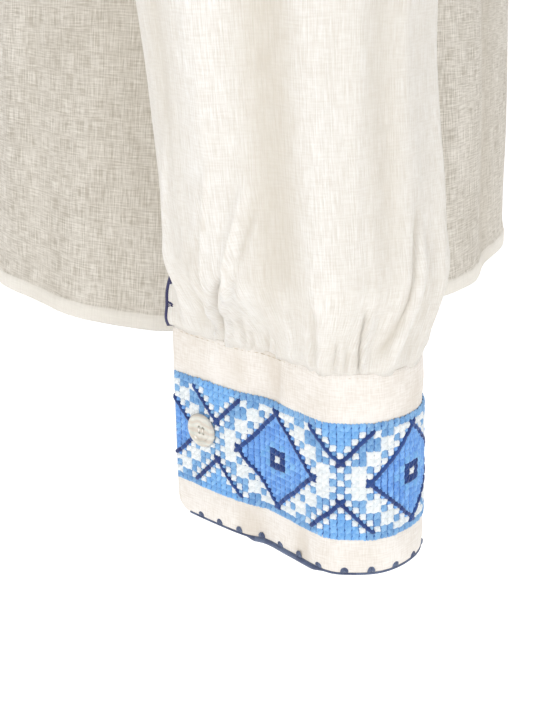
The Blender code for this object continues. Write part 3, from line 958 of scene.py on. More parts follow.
def pucker(across, height):
    """Short upright folds that die out within a few centimetres of the cuff's seam."""
    small = value_noise(across / 0.0065, height / 0.020, 41, round(SLEEVE_CLOTH_WIDTH / 0.0065))
    large = value_noise(across / 0.015, height / 0.055, 42, round(SLEEVE_CLOTH_WIDTH / 0.015))
    root = ease(height / 0.004) * 0.75 + 0.25
    return root * MM * (0.8 * small * np.exp(-height / 0.016) + large * np.exp(-height / 0.045))


def sleeve_grid():
    """The right sleeve's points, cloth measure, painted shade, and how many rows the slit keeps open."""
    along = sleeve_rows()[:, None]
    height = smooth_read(SLEEVE, "z", along) - CUFF_TOP - SEAM_GAP
    gap = SLIT_HALF_TURN * np.sqrt(np.clip(1 - height / SLIT_LENGTH, 0, 1))
    even = np.linspace(0, 1, SLEEVE_COLUMNS + 1)[None, :]
    share = even + FINER_OUTSIDE * (np.cos(2 * np.pi * even) - 1) / (2 * np.pi)
    angle = -90 + gap + (360 - 2 * gap) * share
    points = sleeve_ring(along + 0 * angle, angle)
    length = lengths(points).mean(axis=1)[:, None]
    across = SLEEVE_CLOTH_WIDTH * share + 0 * length
    from_top = length[-1] - length
    creases, puckers = crease_push(angle, height), pucker(across, height)
    streaks = crinkle(across, length + 0 * across, 61, SLEEVE_CLOTH_WIDTH) * ease(from_top / SEAM_CALM)
    lift = streaks * ease(height / SEAM_CALM + 0.15) + puckers * ease(np.minimum(share, 1 - share) / 0.006)
    flare = ease(height / 0.0012) * ease((SLIT_FLARE_HEIGHT - height) / 0.012)
    flare = flare * bump(angle, -90, SLIT_FLARE_TURN)
    lift = lift + SLIT_FLARE * flare * (even < 0.5)
    lift = lift + PUFF * bell(height - PUFF_HEIGHT, PUFF_HEIGHT) * ease(height / 0.001)
    lift = lift + creases - SEAM_DIP * bell(from_top, SEAM_DIP_WIDTH)
    # Painted shade: the troughs of creases and puckers are marked for the darker, warmer tone.
    painted_shade = ease(0.35 - (creases + 0.5 * puckers) / PAINTED_SHADE_DEPTH)
    points = points + normals(points) * lift[..., None]
    points[-1, :, 0] -= ARMHOLE_GAP
    points = np.concatenate([points[:1] - np.array([0, 0, TUCK_IN]), points])
    cloth = stack(across, length, 0)[..., :2]
    cloth = np.concatenate([cloth[:1] - np.array([0, TUCK_IN]), cloth])
    return points, cloth, np.concatenate([painted_shade[:1], painted_shade]), int(np.sum(height < SLIT_LENGTH)) + 1


sleeve_points, sleeve_cloth, sleeve_painted_shade, slit_rows = sleeve_grid()
for side, points, painted_shade in on_both_sides(sleeve_points, sleeve_painted_shade):
    mesh = grid_mesh(f"sleeve_{side}_cloth", points, sleeve_cloth, ring=True, open_rows=slit_rows)
    kept = np.ones(painted_shade.shape, dtype=bool)
    kept[slit_rows:, -1] = False
    mark(mesh, "painted_shade", painted_shade[kept])
    show(mesh, SLEEVE_GAUZE, [f"sleeve_{side}"], CLOTH_WALL)
print(f"sleeve: {area_of(sleeve_points):.4f} square metres, {len(mesh.polygons)} faces")

# %% [markdown]
# ## Cuffs
#
# A cuff is two layers of close cotton, turned and pressed, so its edges are rounder and thinner than its
# middle. The embroidery holds the cloth flat, which leaves the plain strips above and below it slightly
# full, with small dents and ridges. The table gives them by millimetres along the strip and by share of
# its depth.

# %% Cuff grid
CUFF_COLUMNS = 300
EDGE_SOFT = 0.0012
EDGE_THIN = 0.4
STITCH_ROWS = 17
STITCH_COLUMNS = 99
STITCH_TOP, STITCH_BOTTOM = 0.231, 0.815
CUFF_DENTS = table(
    "length middle half_length push",
    (21, 0.10, 3.5, 0.35),
    (32, 0.09, 2.8, -0.45),
    (40, 0.11, 3.2, 0.40),
    (49, 0.10, 2.6, -1.10),
    (54.5, 0.12, 2.8, 0.70),
    (70, 0.10, 6.0, -0.25),
    (93, 0.12, 3.5, 0.30),
    (18, 0.92, 3.5, -0.40),
    (27, 0.92, 3.0, 0.35),
    (38, 0.91, 4.0, -0.50),
    (52, 0.92, 4.0, 0.45),
    (60.5, 0.92, 2.8, -0.90),
    (68, 0.91, 3.0, 0.65),
    (86, 0.92, 6.0, -0.25),
    (130, 0.11, 5.0, -0.45),
    (142, 0.92, 4.5, 0.40),
    (160, 0.10, 4.5, 0.40),
    (175, 0.92, 5.0, -0.45),
    (190, 0.11, 4.0, -0.40),
    (210, 0.92, 4.5, 0.35),
)
DENT_DEPTH_SHARE = 0.10
FULL_STRIPS = ((0.12, 0.075, 0.35), (0.91, 0.05, 0.25))
HELD_FLAT = 0.95


def cuff_grid():
    """The right cuff's points, lengths, shares of depth, distances from the edge, and painted shade."""
    soft = EDGE_SOFT * np.array([0, 0.3, 0.65, 1])
    inner = np.linspace(EDGE_SOFT, CUFF_LENGTH - EDGE_SOFT, CUFF_COLUMNS)
    length = np.concatenate([soft[:-1], inner, CUFF_LENGTH - soft[-2::-1]])[None, :]
    soft = soft / CUFF_DEPTH
    middle = np.linspace(1 - soft[-1], soft[-1], 48)
    share = np.concatenate([1 - soft[:-1], middle, soft[-2::-1]])[:, None]
    end = np.minimum(length, CUFF_LENGTH - length)
    corner = CUFF_CORNER - np.sqrt(CUFF_CORNER**2 - np.clip(CUFF_CORNER - end, 0, CUFF_CORNER) ** 2)
    bottom = 1 - corner / CUFF_DEPTH
    low = share * bottom
    points = cuff_point(length + 0 * share, low)
    from_edge = np.minimum(end, np.minimum(np.minimum(low, 1 - share), bottom - low) * CUFF_DEPTH)
    # A bump works in degrees, so shares of the depth are turned into degrees for it.
    full = sum(high * bump(share * 360, at * 360, half * 360) for at, half, high in FULL_STRIPS)
    wave = 0.35 * value_noise(length / 0.016, share * 3, 71)
    wave = wave + 0.10 * value_noise(length / 0.0055, share * 8, 72)
    dents = 0.0
    for dent in rows_of(CUFF_DENTS):
        beside = bell(length - dent["length"] * MM, dent["half_length"] * MM)
        dents = dents + dent["push"] * beside * bell(share - dent["middle"], DENT_DEPTH_SHARE)
    held = ease((share - STITCH_TOP) / 0.03) * ease((STITCH_BOTTOM - share) / 0.03)
    lift = (full + wave + dents) * MM * ease(from_edge / 0.004) * (1 - HELD_FLAT * held)
    # Painted shade: the dents and waves that sink in are marked for the darker, warmer tone.
    painted_shade = ease(0.15 - (dents + wave) / 0.9)
    return points + normals(points) * lift[..., None], length + 0 * share, low, from_edge, painted_shade


cuff_points, cuff_lengths, cuff_shares, cuff_edge, cuff_painted_shade = cuff_grid()
cuff_cloth = np.stack([cuff_lengths, -cuff_shares * CUFF_DEPTH], axis=-1)
cuffs = {}
for side, points, edge, painted_shade in on_both_sides(cuff_points, cuff_edge, cuff_painted_shade):
    mesh = grid_mesh(f"cuff_{side}_cloth", points, cuff_cloth)
    mark(mesh, "painted_shade", painted_shade)
    cuffs[side] = show(mesh, CUFF_COTTON, [f"cuff_{side}"], CUFF_WALL)
    group = cuffs[side].vertex_groups.new(name="full")
    tenths = np.round(ease(edge.ravel() / EDGE_SOFT) * 10).astype(int)
    for step in range(11):
        group.add(np.flatnonzero(tenths == step).tolist(), step / 10, "REPLACE")
    cuffs[side].modifiers["wall"].vertex_group = group.name
    cuffs[side].modifiers["wall"].thickness_vertex_group = EDGE_THIN
print(f"cuff: {area_of(cuff_points):.5f} square metres")

# %% [markdown]
# ## Thread
#
# Cotton floss is several plies laid side by side with a slight twist. One stitch is a short flattened
# strand between two holes, raised in its middle. All stitches of one colour are one mesh, built from
# whole arrays of start points, end points and the directions that stand out of the cloth.

# %% Strands
STRAND_SUNK = 0.00012
PLIES_ACROSS = 14000
PLIES_ALONG = 2600


def strands(start, end, out, width, rise, along=5, across=4, depth=0.45):
    """Half-round strips: centre lines that arch by 1 - (2t - 1)^4, with a round profile and tapered ends."""
    t = np.linspace(0, 1, along)[None, :, None, None]
    s = np.linspace(-1, 1, across)[None, None, :, None]
    start, end, out = (x[:, None, None, :] for x in (start, end, out))
    run = end - start
    side = unit(np.cross(run, out))
    arch = 1 - (2 * t - 1) ** 4
    taper = 0.55 + 0.45 * arch
    height = rise * arch + width * depth * np.sqrt(np.clip(1 - s * s, 0, 1)) * taper - STRAND_SUNK
    points = start + run * t + side * s * width / 2 * taper + out * height
    face = grid_faces(np.arange(along * across).reshape(along, across))
    faces = face[None] + np.arange(len(points))[:, None, None] * along * across
    length = np.linalg.norm(run, axis=-1, keepdims=True)
    cloth = stack(s * width / 2, t * length, 0)[..., :2]
    return points.reshape(-1, 3), faces.reshape(-1, 4), cloth.reshape(-1, 2)


def thread_mesh(name, parts, seed):
    """One mesh from several groups of strands, with a random tint for each strand as an attribute."""
    first = np.cumsum([0] + [len(points) for points, _, _ in parts])
    points = np.concatenate([part[0] for part in parts])
    faces = np.concatenate([part[1] + start for part, start in zip(parts, first)])
    cloth = np.concatenate([part[2] for part in parts])
    mesh = fill_mesh(name, points, faces, cloth[faces.ravel()])
    label = np.cumsum(np.append(0, np.diff(cloth[:, 1]) < -1e-7))
    mark(mesh, "tint", np.random.default_rng(seed).random(label.max() + 1)[label])
    return mesh


def for_side(parts, side):
    """The same strands for either side: the left one is the mirror image with its faces turned over."""
    if side == "right":
        return parts
    return [(points * MIRROR, faces[:, ::-1], cloth) for points, faces, cloth in parts]


# %% Floss materials
def floss(name, pale, deep, sheen=0.2):
    """Two tones mixed by each strand's tint and by slanting plies with painted shade between; a ply bump."""
    look = Look(name)
    across = look.node("SeparateXYZ", {}, {0: look.cloth()})
    along = Socket(look, across.socket.node.outputs[1])
    plies = (across * PLIES_ACROSS + along * PLIES_ALONG).sine()
    fuzz = look.threads(6000.0, 900.0)
    # Painted shade: the plies' wave also darkens the colour in the grooves between them.
    tone = look.attribute("tint") * 0.55 + plies * 0.16 + fuzz * 0.5
    lift = look.bump(plies * 0.5 + fuzz, 0.6, 0.0002)
    colour = look.mix(look.spread(tone, 0.1, 0.95), deep, pale)
    return look.surface(colour, 0.6, Normal=lift, Specular_IOR_Level=0.3, Sheen_Weight=sheen)


FLOSS = {
    "white": floss("floss_white", (252, 253, 252), (226, 234, 238), 0.1),
    "light": floss("floss_light", (152, 198, 238), (94, 148, 204)),
    "sky": floss("floss_sky", (150, 204, 250), (106, 168, 230)),
    "blue": floss("floss_blue", (146, 200, 255), (90, 146, 224)),
    "navy": floss("floss_navy", (40, 80, 148), (16, 38, 102)),
    "shade": floss("floss_shade", (72, 122, 190), (46, 90, 160)),
    "slate": floss("floss_slate", (106, 120, 148), (62, 72, 104)),
    "dark": floss("floss_dark", (74, 74, 116), (32, 32, 72)),
}
SEWING_THREAD = floss("sewing_thread", (252, 249, 243), (232, 226, 214), 0.1)
# Painted shadow: the seam thread is brown, so the stitches also stand for the shadow line at the seam.
SHADOWED_SEAM_THREAD = floss("seam_thread_shadowed", (218, 205, 184), (184, 168, 146), 0.1)
print("floss:", ", ".join(FLOSS))

# %% [markdown]
# ## The cross-stitch chart
#
# The pattern is counted on the weave: 17 rows, and a repeat of 22 columns. Dark outlined diamonds stand
# between crosses made of two dark Vs. Rows of white dots follow the dark lines, and stepped white squares
# follow the diamonds. The chart is worked out from the distance to each motif's middle, the way a stitcher
# counts it.

# %% Chart
REPEAT = 22
FIRST_COLUMN = 3
MIDDLE_ROW = 9
DIAMOND = 7
WHITE, LIGHT, SKY, BLUE, NAVY, DOT = range(6)


def chart(column, row):
    """What each cell holds, and the slant of a dark line over it.

    The slant is 1 for a line that falls to the right, -1 for one that rises, 2 for both and 0 for none.
    """
    place = (column + FIRST_COLUMN) % REPEAT
    i = np.where(place <= REPEAT // 2, place, place - REPEAT)
    away = place - REPEAT // 2
    down = row - MIDDLE_ROW
    across, j, k = np.abs(i), np.abs(down), np.abs(away)
    far = across + j
    colour = np.full(np.broadcast(place, row).shape, LIGHT)
    colour = np.where((j >= 5) & (k < j - 4), SKY, colour)
    colour = np.where((k >= 2) & (k <= 3) & (j <= 2), WHITE, colour)
    for first in (4, 6, 8):
        colour = np.where((k // 2 * 2 == first) & (j >= first - 1) & (j <= first), WHITE, colour)
    colour = np.where((k == 5) & (j == 7), WHITE, colour)
    colour = np.where((j == 8) & (k >= 8) | (j == 8) & (colour == WHITE), LIGHT, colour)
    inner, outer = (k == j - 4) & (j <= 7), (k == j - 2) & (j >= 3) & (j <= np.where(down < 0, 4, 7))
    middle = (k == 0) & (j <= 2) & (j % 2 == 0) | (k == 1) & (j == 1)
    beside = (far == DIAMOND + 1) & (j < 8) & (colour != WHITE)
    colour = np.where(inner | outer | middle | beside, DOT, colour)
    colour = np.where(far <= DIAMOND, BLUE, colour)
    colour = np.where((far == 3) & (across != 0), SKY, colour)
    colour = np.where((across <= 1) & (j <= 1), NAVY, colour)
    colour = np.where(far == 0, WHITE, colour)
    slant = np.where((k == j - 3) & (j <= 7), np.sign(away * down), 0)
    slant = np.where(far == DIAMOND, -np.sign(i * down), slant)
    both = (far == DIAMOND) & (i * down == 0) | (k == 0) & (j == 3)
    return colour, np.where(both, 2, slant)


columns, rows = np.meshgrid(np.arange(STITCH_COLUMNS), np.arange(1, STITCH_ROWS + 1), indexing="ij")
stitch_colours, line_slants = chart(columns, rows)
print("stitches of each colour:", np.bincount(stitch_colours.ravel()))
for row, lines in zip(stitch_colours.T, line_slants.T):
    print("".join("#" if line else ".-=o+*"[c] for c, line in zip(row[:50], lines)))

# %% [markdown]
# ## Cross stitches on the cuff
#
# Each stitch is two strands from corner to corner of its cell, the second over the first. They stand on
# the cuff's outer face. A little unevenness in where the needle went makes the rows look worked by hand.
# Between the columns the needle holes and the threads' sides make darker upright lines. A thin sheet of
# deep blue stands for that shade, under every cell but the plain white and the navy ones.

# %% Stitches
CELL_LONG = CUFF_LENGTH / STITCH_COLUMNS
CELL_TALL = (STITCH_BOTTOM - STITCH_TOP) / STITCH_ROWS
CHART_SHIFT = 0.0011
STRIP_END = 0.0005
STRAND = 0.00175
LINE_STRAND = 0.0017
LINE_OVERLAP = -0.20
SHADE_LIFT = 0.00012
NEEDLE_STRAY = 0.00012
corner_shift = np.random.default_rng(9).normal(0, NEEDLE_STRAY, (STITCH_COLUMNS + 1, STITCH_ROWS + 1, 2))


def cuff_face(length, share, lift=0.0):
    """Points on the right cuff's outer face, and the directions that stand out of it there."""
    step = 0.0004
    along = cuff_point(length + step, share) - cuff_point(length - step, share)
    up = cuff_point(length, share - 0.01) - cuff_point(length, share + 0.01)
    out = unit(np.cross(along, up))
    return cuff_point(length, share) + out * (CUFF_HALF_WALL + lift), out


def cell_corner(column, row, stray=0.0):
    """Length and share of a cell's corner, moved by the needle's stray and kept on the strip."""
    shift = corner_shift[column, row] * stray
    length = column * CELL_LONG + CHART_SHIFT * (column > 0) + shift[..., 0]
    length = np.clip(length, STRIP_END, CUFF_LENGTH - STRIP_END)
    return length, STITCH_TOP + row * CELL_TALL + shift[..., 1] / CUFF_DEPTH


def cell_corners(chosen, squeeze, stretch):
    """The chosen cells' upper left, upper right, lower left and lower right holes, and the way out.

    The corners move towards the cell's middle by the share squeeze across and by stretch up and down.
    """
    column, row = np.nonzero(chosen)
    places = ((column, row), (column + 1, row), (column, row + 1), (column + 1, row + 1))
    faces = [cuff_face(*cell_corner(*place, stray=1.0)) for place in places]
    (upper_left, out), (upper_right, _), (lower_left, _), (lower_right, _) = faces
    across = (upper_right - upper_left) * squeeze
    down = (lower_left - upper_left) * stretch
    upper = upper_left + across + down, upper_right - across + down
    lower = lower_left + across - down, lower_right - across - down
    return *upper, *lower, out


def crosses(chosen, squeeze, stretch):
    """The two strands of every chosen cell, the rising one over the falling one."""
    upper_left, upper_right, lower_left, lower_right, out = cell_corners(chosen, squeeze, stretch)
    under = strands(upper_left, lower_right, out, STRAND, 0.0001)
    over = strands(lower_left, upper_right, out, STRAND, 0.00035)
    return [under, over]


def outline_lines(slants):
    """Dark strands over the crosses, corner to corner, so that neighbours join into one line."""
    parts = []
    for sign in (1, -1):
        chosen = (slants == sign) | (slants == 2)
        *upper, lower_left, lower_right, out = cell_corners(chosen, LINE_OVERLAP, LINE_OVERLAP)
        start, end = (upper[0], lower_right) if sign == 1 else (lower_left, upper[1])
        parts.append(strands(start, end, out, LINE_STRAND, 0.0007, along=6, across=5, depth=0.4))
    return parts


def under_cells(chosen):
    """One quad for each chosen cell, a little above the cuff's face."""
    column, row = np.nonzero(chosen)
    corners = [(column, row + 1), (column + 1, row + 1), (column + 1, row), (column, row)]
    places = [cell_corner(*corner) for corner in corners]
    points = np.stack([cuff_face(*place, SHADE_LIFT)[0] for place in places], axis=1)
    cloth = np.stack([np.stack([long, -share * CUFF_DEPTH], axis=-1) for long, share in places], axis=1)
    faces = np.arange(len(column) * 4).reshape(-1, 4)
    return points.reshape(-1, 3), faces, cloth.reshape(-1, 2)


SQUEEZES = {
    "white": (WHITE, -0.03, -0.03),
    "light": (LIGHT, 0.12, -0.04),
    "sky": (SKY, 0.12, -0.05),
    "blue": (BLUE, 0.17, -0.06),
    "navy": (NAVY, 0.0, -0.04),
}
DOT_SQUEEZE = (0.13, 0.08)
SHADE_SEED = 8
stitched = {}
for colour, (number, squeeze, stretch) in SQUEEZES.items():
    stitched[colour] = crosses(stitch_colours == number, squeeze, stretch), number
stitched["white"][0].extend(crosses(stitch_colours == DOT, *DOT_SQUEEZE))
stitched["navy"][0].extend(outline_lines(line_slants))
stitched["shade"] = [under_cells((stitch_colours != WHITE) & (stitch_colours != NAVY))], SHADE_SEED
embroidery = {side: [] for side in SIDES}
for colour, (parts, seed) in stitched.items():
    for side in SIDES:
        mesh = thread_mesh(f"embroidery_{side}_{colour}", for_side(parts, side), seed)
        embroidery[side].append(show(mesh, FLOSS[colour]))
print("strands on each cuff:", 2 * stitch_colours.size)

# %% [markdown]
# ## Blanket stitch and seam stitching
#
# The cuff's lower edge and the slit are bound with dark floss in blanket stitch: a cord lies along the edge,
# thicker where the photo shows it so, and small points reach in from it at even steps. A row of machine
# stitches follows the cuff's upper edge.


# %% Cords and rows of stitches
def row_of_stitches(path, out, spacing=0.0026, length=0.0019, width=0.00045, lift=0.0003):
    """Machine stitches: short strands end to end along a path, with small gaps between."""
    reach = lengths(path)
    at = np.linspace(0, reach[-1], max(2, round(reach[-1] / spacing) + 1))
    point, away = (np.stack([np.interp(at, reach, x) for x in points.T], axis=-1) for points in (path, out))
    away = unit(away)[:-1]
    middle = (point[:-1] + point[1:]) / 2 + lift * away
    step = unit(point[1:] - point[:-1]) * length / 2
    return strands(middle - step, middle + step, away, width, 0.00005, along=3, across=3)


def cord(path, out, radius, sides=8):
    """A round cord as a tube along a path, drawn in to a point at each end."""
    run = unit(np.gradient(path, axis=0))
    side = unit(np.cross(run, out))
    up = np.cross(side, run)
    turn = np.linspace(0, 2 * np.pi, sides, endpoint=False)[None, :, None]
    thick = np.full(len(path), radius)
    thick[[0, -1]] *= 0.05
    ring = np.cos(turn) * side[:, None] + np.sin(turn) * up[:, None]
    points = path[:, None] + ring * thick[:, None, None]
    grid = np.arange(len(path) * sides).reshape(len(path), sides)
    faces = grid_faces(np.concatenate([grid, grid[:, :1]], axis=1))
    cloth = stack(turn[..., 0] * thick[:, None], lengths(path)[:, None] % 0.004, 0)[..., :2]
    return points.reshape(-1, 3), faces[:, ::-1], cloth.reshape(-1, 2)


def points_up(place, along, inwards, out, half_base, height, width):
    """Blanket-stitch points: an upright strand from the edge, and two that lean together over it."""
    tip = place + inwards * height
    starts = (place, 0.0001), (place - along * half_base, 0.0002), (place + along * half_base, 0.00025)
    return [strands(start, tip, out, width, rise, along=4, across=3) for start, rise in starts]


EDGE_CORD = 0.00045
EDGE_CORD_THICK = 0.0011
THICK_FROM, THICK_TO = 0.034, 0.071
POINT_STEP = 0.0093
FIRST_POINT = 0.0125
FIRST_SLIT_POINT = 0.0085
POINT_SHARE = 0.992
SLIT_CORD = 0.00085
SEAM_SHARE = 0.016

edge_length = np.linspace(CUFF_CORNER, CUFF_LENGTH - 0.001, 500)
thick_here = ease((edge_length - THICK_FROM) / 0.004) * ease((THICK_TO - edge_length) / 0.006)
edge_radius = EDGE_CORD + (EDGE_CORD_THICK - EDGE_CORD) * thick_here
edge_share = 1.0 + 0.8 * (edge_radius - EDGE_CORD) / CUFF_DEPTH
edge_path, edge_out = cuff_face(edge_length, edge_share, lift=-0.0003)
point_length = np.arange(FIRST_POINT, CUFF_LENGTH - 0.004, POINT_STEP)
point_place, point_out = cuff_face(point_length, np.full(len(point_length), POINT_SHARE))
next_place, _ = cuff_face(point_length + 0.001, np.full(len(point_length), POINT_SHARE))
point_along = unit(next_place - point_place)
point_in = np.cross(point_out, point_along)
point_in = point_in * np.sign(point_in[:, 2:3])
blanket = [cord(edge_path, edge_out, edge_radius)]
blanket += points_up(point_place, point_along, point_in, point_out, 0.0011, 0.0022, 0.0014)

slit_parts = []
slit_height = sleeve_cloth[:slit_rows, 0, 1]
slit_out = normals(sleeve_points[: slit_rows + 1])
for column, inner in ((0, 4), (-1, -5)):
    path, out = sleeve_points[: slit_rows + 1, column], slit_out[:, column]
    inwards = unit(sleeve_points[: slit_rows + 1, inner] - path)
    slit_parts.append(cord(path[1:] + out[1:] * 0.0003, out[1:], SLIT_CORD))
    pick = np.searchsorted(slit_height, np.arange(FIRST_SLIT_POINT, SLIT_LENGTH - 0.004, POINT_STEP))
    rise = unit(np.gradient(path, axis=0)[pick])
    base = path[pick] + out[pick] * 0.0004
    slit_parts += points_up(base, rise, inwards[pick], out[pick], 0.0011, 0.0025, 0.0015)

# Real stitches, whose brown thread also gives a painted shadow line along the cuff's seam.
seam_path = cuff_face(np.linspace(0.004, CUFF_LENGTH - 0.002, 400), np.full(400, SEAM_SHARE))
seam = [row_of_stitches(*seam_path, width=0.00035, lift=0.0)]
BOUND = {
    "edge_binding": (blanket, FLOSS["slate"], 31),
    "slit_binding": (slit_parts, FLOSS["dark"], 32),
    "cuff_seam": (seam, SHADOWED_SEAM_THREAD, 33),
}
bound = {side: {} for side in SIDES}
for side in SIDES:
    for name, (parts, material, seed) in BOUND.items():
        mesh = thread_mesh(f"{name}_{side}", for_side(parts, side), seed)
        bound[side][name] = show(mesh, material)
print("blanket points on each cuff:", len(point_length))

# %% [markdown]
# ## Neck band
#
# The neck is finished with a narrow band of the closer cotton, folded over the raw edge. It stands up from
# the panels' neck edge and leans in, more at the shoulders than in front.

# %% Band
BAND_DEPTH = 0.012
BAND_START = 0.0004
BAND_LEAN = 1.2
BAND_LEAN_LOST = {"front": 0.65, "back": 0.35}
BAND_CENTRE_Y = -0.009
BAND_COLUMNS = 160


def band_grid():
    """The panels' neck edges as one loop, moved along a direction that leans in, for each row."""
    u = NECK_SHARE * np.sin(np.linspace(-np.pi / 2, np.pi / 2, BAND_COLUMNS + 1))
    loop = np.concatenate([top_edge("front", u)[:-1], top_edge("back", -u)])
    inwards = unit((np.array([0, BAND_CENTRE_Y, 0]) - loop) * np.array([1, 1, 0]))
    lean = BAND_LEAN
    for side, facing in FACING.items():
        share = np.clip(facing * (SIDE_Y - loop[:, 1:2]) / NECK_DEPTH[side], 0, 1)
        lean = lean - BAND_LEAN_LOST[side] * share
    direction = unit(inwards * lean + np.array([0, 0, 1]))
    up = np.linspace(BAND_START, BAND_DEPTH, 12)[:, None]
    points = loop[None] + up[..., None] * direction[None]
    length = lengths(loop)
    round_up = np.sin(np.pi * (up - up[0]) / (up[-1] - up[0]))
    wave = value_noise(length[None, :] / 0.010, up / 0.008, 81)
    wave = wave * ease(np.minimum(length, length[-1] - length) / 0.01)[None, :]
    lift = round_up * (0.0004 + 0.00025 * wave)
    return points + normals(points) * lift[..., None], stack(length[None, :], up, 0)[..., :2]


band_points, band_cloth = band_grid()
print(f"band: {band_cloth[0, -1, 0]:.3f} m along its lower edge, {area_of(band_points):.5f} square metres")
band_mesh = grid_mesh("neck_band_cloth", band_points, band_cloth, ring=True)
band = show(band_mesh, CUFF_COTTON, ["neck_band"], CUFF_WALL)

# %% [markdown]
# ## Machine stitches on the body
#
# The hem is stitched at the upper edge of its fold. The shoulder and armhole seams are stitched down
# beside the seam, on the body's side, and the neck band is stitched along its lower edge.

# %% Stitch rows on panels
ROWS_INSIDE = 3


def panel_rows_of_stitches(points, out):
    """Rows above the hem's fold, and just inside both armhole and shoulder edges."""
    hem = HEM_ROWS * 3 // 4 - 1
    inside = ROWS_INSIDE
    chest_rows = slice(HEM_ROWS + BODY_ROWS - 2, -inside)
    neck = round((1 - NECK_SHARE) / 2 * PANEL_COLUMNS)
    places = [
        (hem, slice(None)),
        (chest_rows, inside),
        (chest_rows, -1 - inside),
        (-inside, slice(inside, neck)),
        (-inside, slice(-neck, -inside)),
    ]
    return [row_of_stitches(points[place], out[place]) for place in places]


def stitches(name, parts, seed):
    """Machine stitches as a piece."""
    return show(thread_mesh(name, parts, seed), SEWING_THREAD)


front_rows = stitches("front_stitches", panel_rows_of_stitches(front_points, front_out), 34)
back_rows = stitches("back_stitches", panel_rows_of_stitches(back_points, back_out), 35)
band_row = row_of_stitches(band_points[1], normals(band_points)[1], lift=0.0008)
band_rows = stitches("neck_band_stitches", [band_row], 36)
print("faces of stitches:", [len(obj.data.polygons) for obj in (front_rows, back_rows, band_rows)])

# %% [markdown]
# ## Buttons
#
# A shell shirt button is a turned disc with a rim and four small holes, cut so that the thread lies in a
# shallow well. It is a surface of distance and turn: the profile of a lathe, less a round dip at each hole.

# %% Button surfaces and shell
BUTTON_LIFT = 0.0003
BUTTON_PROFILE = table(
    "radius height",
    (0.0, 0.00135),
    (0.0030, 0.00135),
    (0.0038, 0.00150),
    (0.0045, 0.00200),
    (0.0056, 0.00212),
    (0.0062, 0.00180),
    (0.0065, 0.00125),
)
BUTTON_BACK = table("radius height", (1.0, 0.0008), (0.93, 0.0003), (0.77, 0.0), (0.4, 0.0), (0.002, 0.0))
HOLE_RADIUS = 0.00062
HOLE_PLACE = 0.00135
HOLE_DEPTH = 0.0011
TIE_HEIGHT = 0.00125


def place_button(local):
    """From distances sideways, down and out of the seat to points beside the right cuff, and the way out."""
    seat, out = cuff_face(np.array([BUTTON_INSET]), np.array([BUTTON_LEVEL]), BUTTON_LIFT)
    down = unit(cuff_point(BUTTON_INSET, BUTTON_LEVEL + 0.02) - cuff_point(BUTTON_INSET, BUTTON_LEVEL))
    axes = np.stack([np.cross(down, out[0]), down, out[0]])
    return seat[0] + local @ axes, out


def button_grid():
    """Polar grid for the face with a dip at each hole, then the rim's edge and the flat back."""
    turn = np.linspace(0, 2 * np.pi, 97)[None, :]
    face = BUTTON_RADIUS * np.concatenate([np.linspace(0.002, 0.34, 26), np.linspace(0.36, 1, 26)])[:, None]
    x, y = face * np.cos(turn), face * np.sin(turn)
    height = smooth_read(BUTTON_PROFILE, "height", face) + 0 * turn
    for hole in np.radians([45, 135, 225, 315]):
        away = np.hypot(x - HOLE_PLACE * np.cos(hole), y - HOLE_PLACE * np.sin(hole))
        height = height - HOLE_DEPTH * ease((HOLE_RADIUS * 1.25 - away) / (HOLE_RADIUS * 0.5))
    rim = BUTTON_RADIUS * BUTTON_BACK["radius"][:, None]
    under = stack(rim * np.cos(turn), rim * np.sin(turn), BUTTON_BACK["height"][:, None])
    return np.concatenate([stack(x, y, height), under])[::-1]


def shell():
    """Pearl: growth lines as a bent wave and a soft cloud mix four cream tones, under a gloss coat."""
    look = Look("shell_button")
    cloud = look.node("TexNoise", {}, {"Vector": look.cloth(), "Scale": 260.0, "Detail": 3.0})
    rings = {"Vector": look.cloth(), "Scale": 110.0, "Distortion": 6.0, "Detail": 2.0}
    bands = look.node("TexWave", {"wave_type": "RINGS"}, rings, output=1)
    colour = look.node("ValToRGB", {}, {0: cloud * 0.6 + bands * 0.4})
    stops = colour.socket.node.color_ramp.elements
    ends = [stops[0], stops[1]]
    for stop, place, tone in zip(ends, (0.25, 0.75), ((194, 186, 172), (222, 216, 205))):
        stop.position, stop.color = place, linear(*tone)
    stops.new(0.42).color = linear(210, 199, 185)
    stops.new(0.58).color = linear(204, 206, 196)
    return look.surface(colour, 0.28, Coat_Weight=0.6, Coat_Roughness=0.08)


SHELL = shell()
local = button_grid()
hole_at = np.array([(1, 1), (-1, 1), (-1, -1), (1, -1)]) * HOLE_PLACE / np.sqrt(2)
hole_at = np.column_stack([hole_at, np.full(4, TIE_HEIGHT)])
tie_from, tie_out = place_button(hole_at[[0, 1]])
tie_to, _ = place_button(hole_at[[3, 2]])
ties = [strands(tie_from, tie_to, tie_out.repeat(2, axis=0), 0.0006, 0.0002, along=7, across=5, depth=0.5)]
for side, placed, measure in on_both_sides(place_button(local)[0], local[..., :2] + 0.02):
    mesh = grid_mesh(f"button_{side}_shell", placed, measure, ring=True)
    show(mesh, SHELL, [f"button_{side}"])
    show(thread_mesh(f"button_{side}_thread", for_side(ties, side), 51), SEWING_THREAD)
print("button: faces", len(mesh.polygons))

# %% [markdown]
# ## What each sheet was cut from
#
# The flat size of each piece is its paper pattern. Panels are wide at the hem and cut away at the neck and
# Panels are wide at the hem and cut away at the neck and armholes. A sleeve's cut is wider than its ring,
# because it is gathered in at the cuff.

# %% [markdown]
# ## Light, floor and camera
#
# The picture is a close view of the right cuff from beside it, a little from above, on white. A bright
# even sky stands for a light tent, with two soft lamps beside the sleeve, one to each side of the camera.

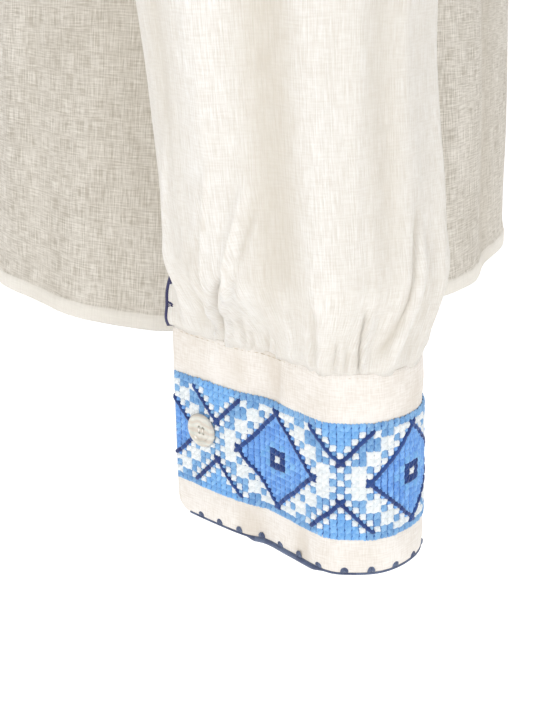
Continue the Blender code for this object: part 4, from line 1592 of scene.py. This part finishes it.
# %% Studio
FLOOR_Z = -0.95
BACK_X = 5.9
LIT = (1.0, 1.0, 1.0, 1.0)
SLEEVE_MIDDLE = (-0.25, -0.02, -0.48)
CAMERA_PLACE = (-0.5752, -0.0197, -0.4308)
CAMERA_DOWN = np.radians(22)


def stage(name, data, place=(0, 0, 0), towards=None):
    """An object of the studio; a lamp or camera is turned towards a direction."""
    obj = bpy.data.objects.new(name, data)
    obj.location = place
    if towards is not None:
        obj.rotation_euler = Vector(towards).to_track_quat("-Z", "Y").to_euler()
    bpy.context.scene.collection.objects.link(obj)
    return obj


def plane(name, corners, material):
    """A four-cornered sheet that belongs to the studio."""
    mesh = bpy.data.meshes.new(name)
    mesh.from_pydata(corners, [], [(0, 1, 2, 3)])
    mesh.materials.append(material)
    stage(name, mesh)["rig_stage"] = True


def lamp(name, place, size, power):
    """A square lamp that faces the sleeve."""
    data = bpy.data.lights.new(name, "AREA")
    data.shape, data.size, data.energy = "SQUARE", size, power
    stage(name, data, place, Vector(SLEEVE_MIDDLE) - Vector(place))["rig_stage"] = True


glow = {"Emission_Color": LIT}
floor = Look("pale_floor").surface(linear(250, 250, 250), 0.9, Emission_Strength=0.45, **glow)
paper = Look("white_paper").surface((0.0, 0.0, 0.0, 1.0), 0.5, Emission_Strength=1.1, **glow)
plane("paper", [(BACK_X, 6, FLOOR_Z), (BACK_X, -6, FLOOR_Z), (BACK_X, -6, 5), (BACK_X, 6, 5)], paper)
plane("floor", [(-6, -6, FLOOR_Z), (6, -6, FLOOR_Z), (6, 6, FLOOR_Z), (-6, 6, FLOOR_Z)], floor)
lamp("key", (-1.8, 1.2, 0.5), 0.6, 15.0)
lamp("fill", (-1.5, -1.6, 0.2), 1.2, 11.0)

world = bpy.data.worlds.new("light_tent")
bpy.context.scene.world = world
world.use_nodes = True
sky = world.node_tree.nodes["Background"]
sky.inputs["Color"].default_value = LIT
sky.inputs["Strength"].default_value = 0.62

camera_data = bpy.data.cameras.new("camera")
camera_data.sensor_width = 36
camera_data.lens = 50.75
camera_data.clip_start = 0.01
look_at = (float(np.cos(CAMERA_DOWN)), 0.0, -float(np.sin(CAMERA_DOWN)))
bpy.context.scene.camera = stage("camera", camera_data, CAMERA_PLACE, look_at)
bpy.context.scene.view_settings.view_transform = "Standard"

# %% [markdown]
# ## Count the triangles and finish
#
# The triangles added to the solids are counted. Each cloth wall has two faces, so its triangles count twice.

# %% Finish
triangles = 0
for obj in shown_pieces():
    if "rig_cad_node" not in obj:
        obj.data.calc_loop_triangles()
        triangles += len(obj.data.loop_triangles) * (2 if obj.modifiers else 1)
print("triangles added:", triangles)
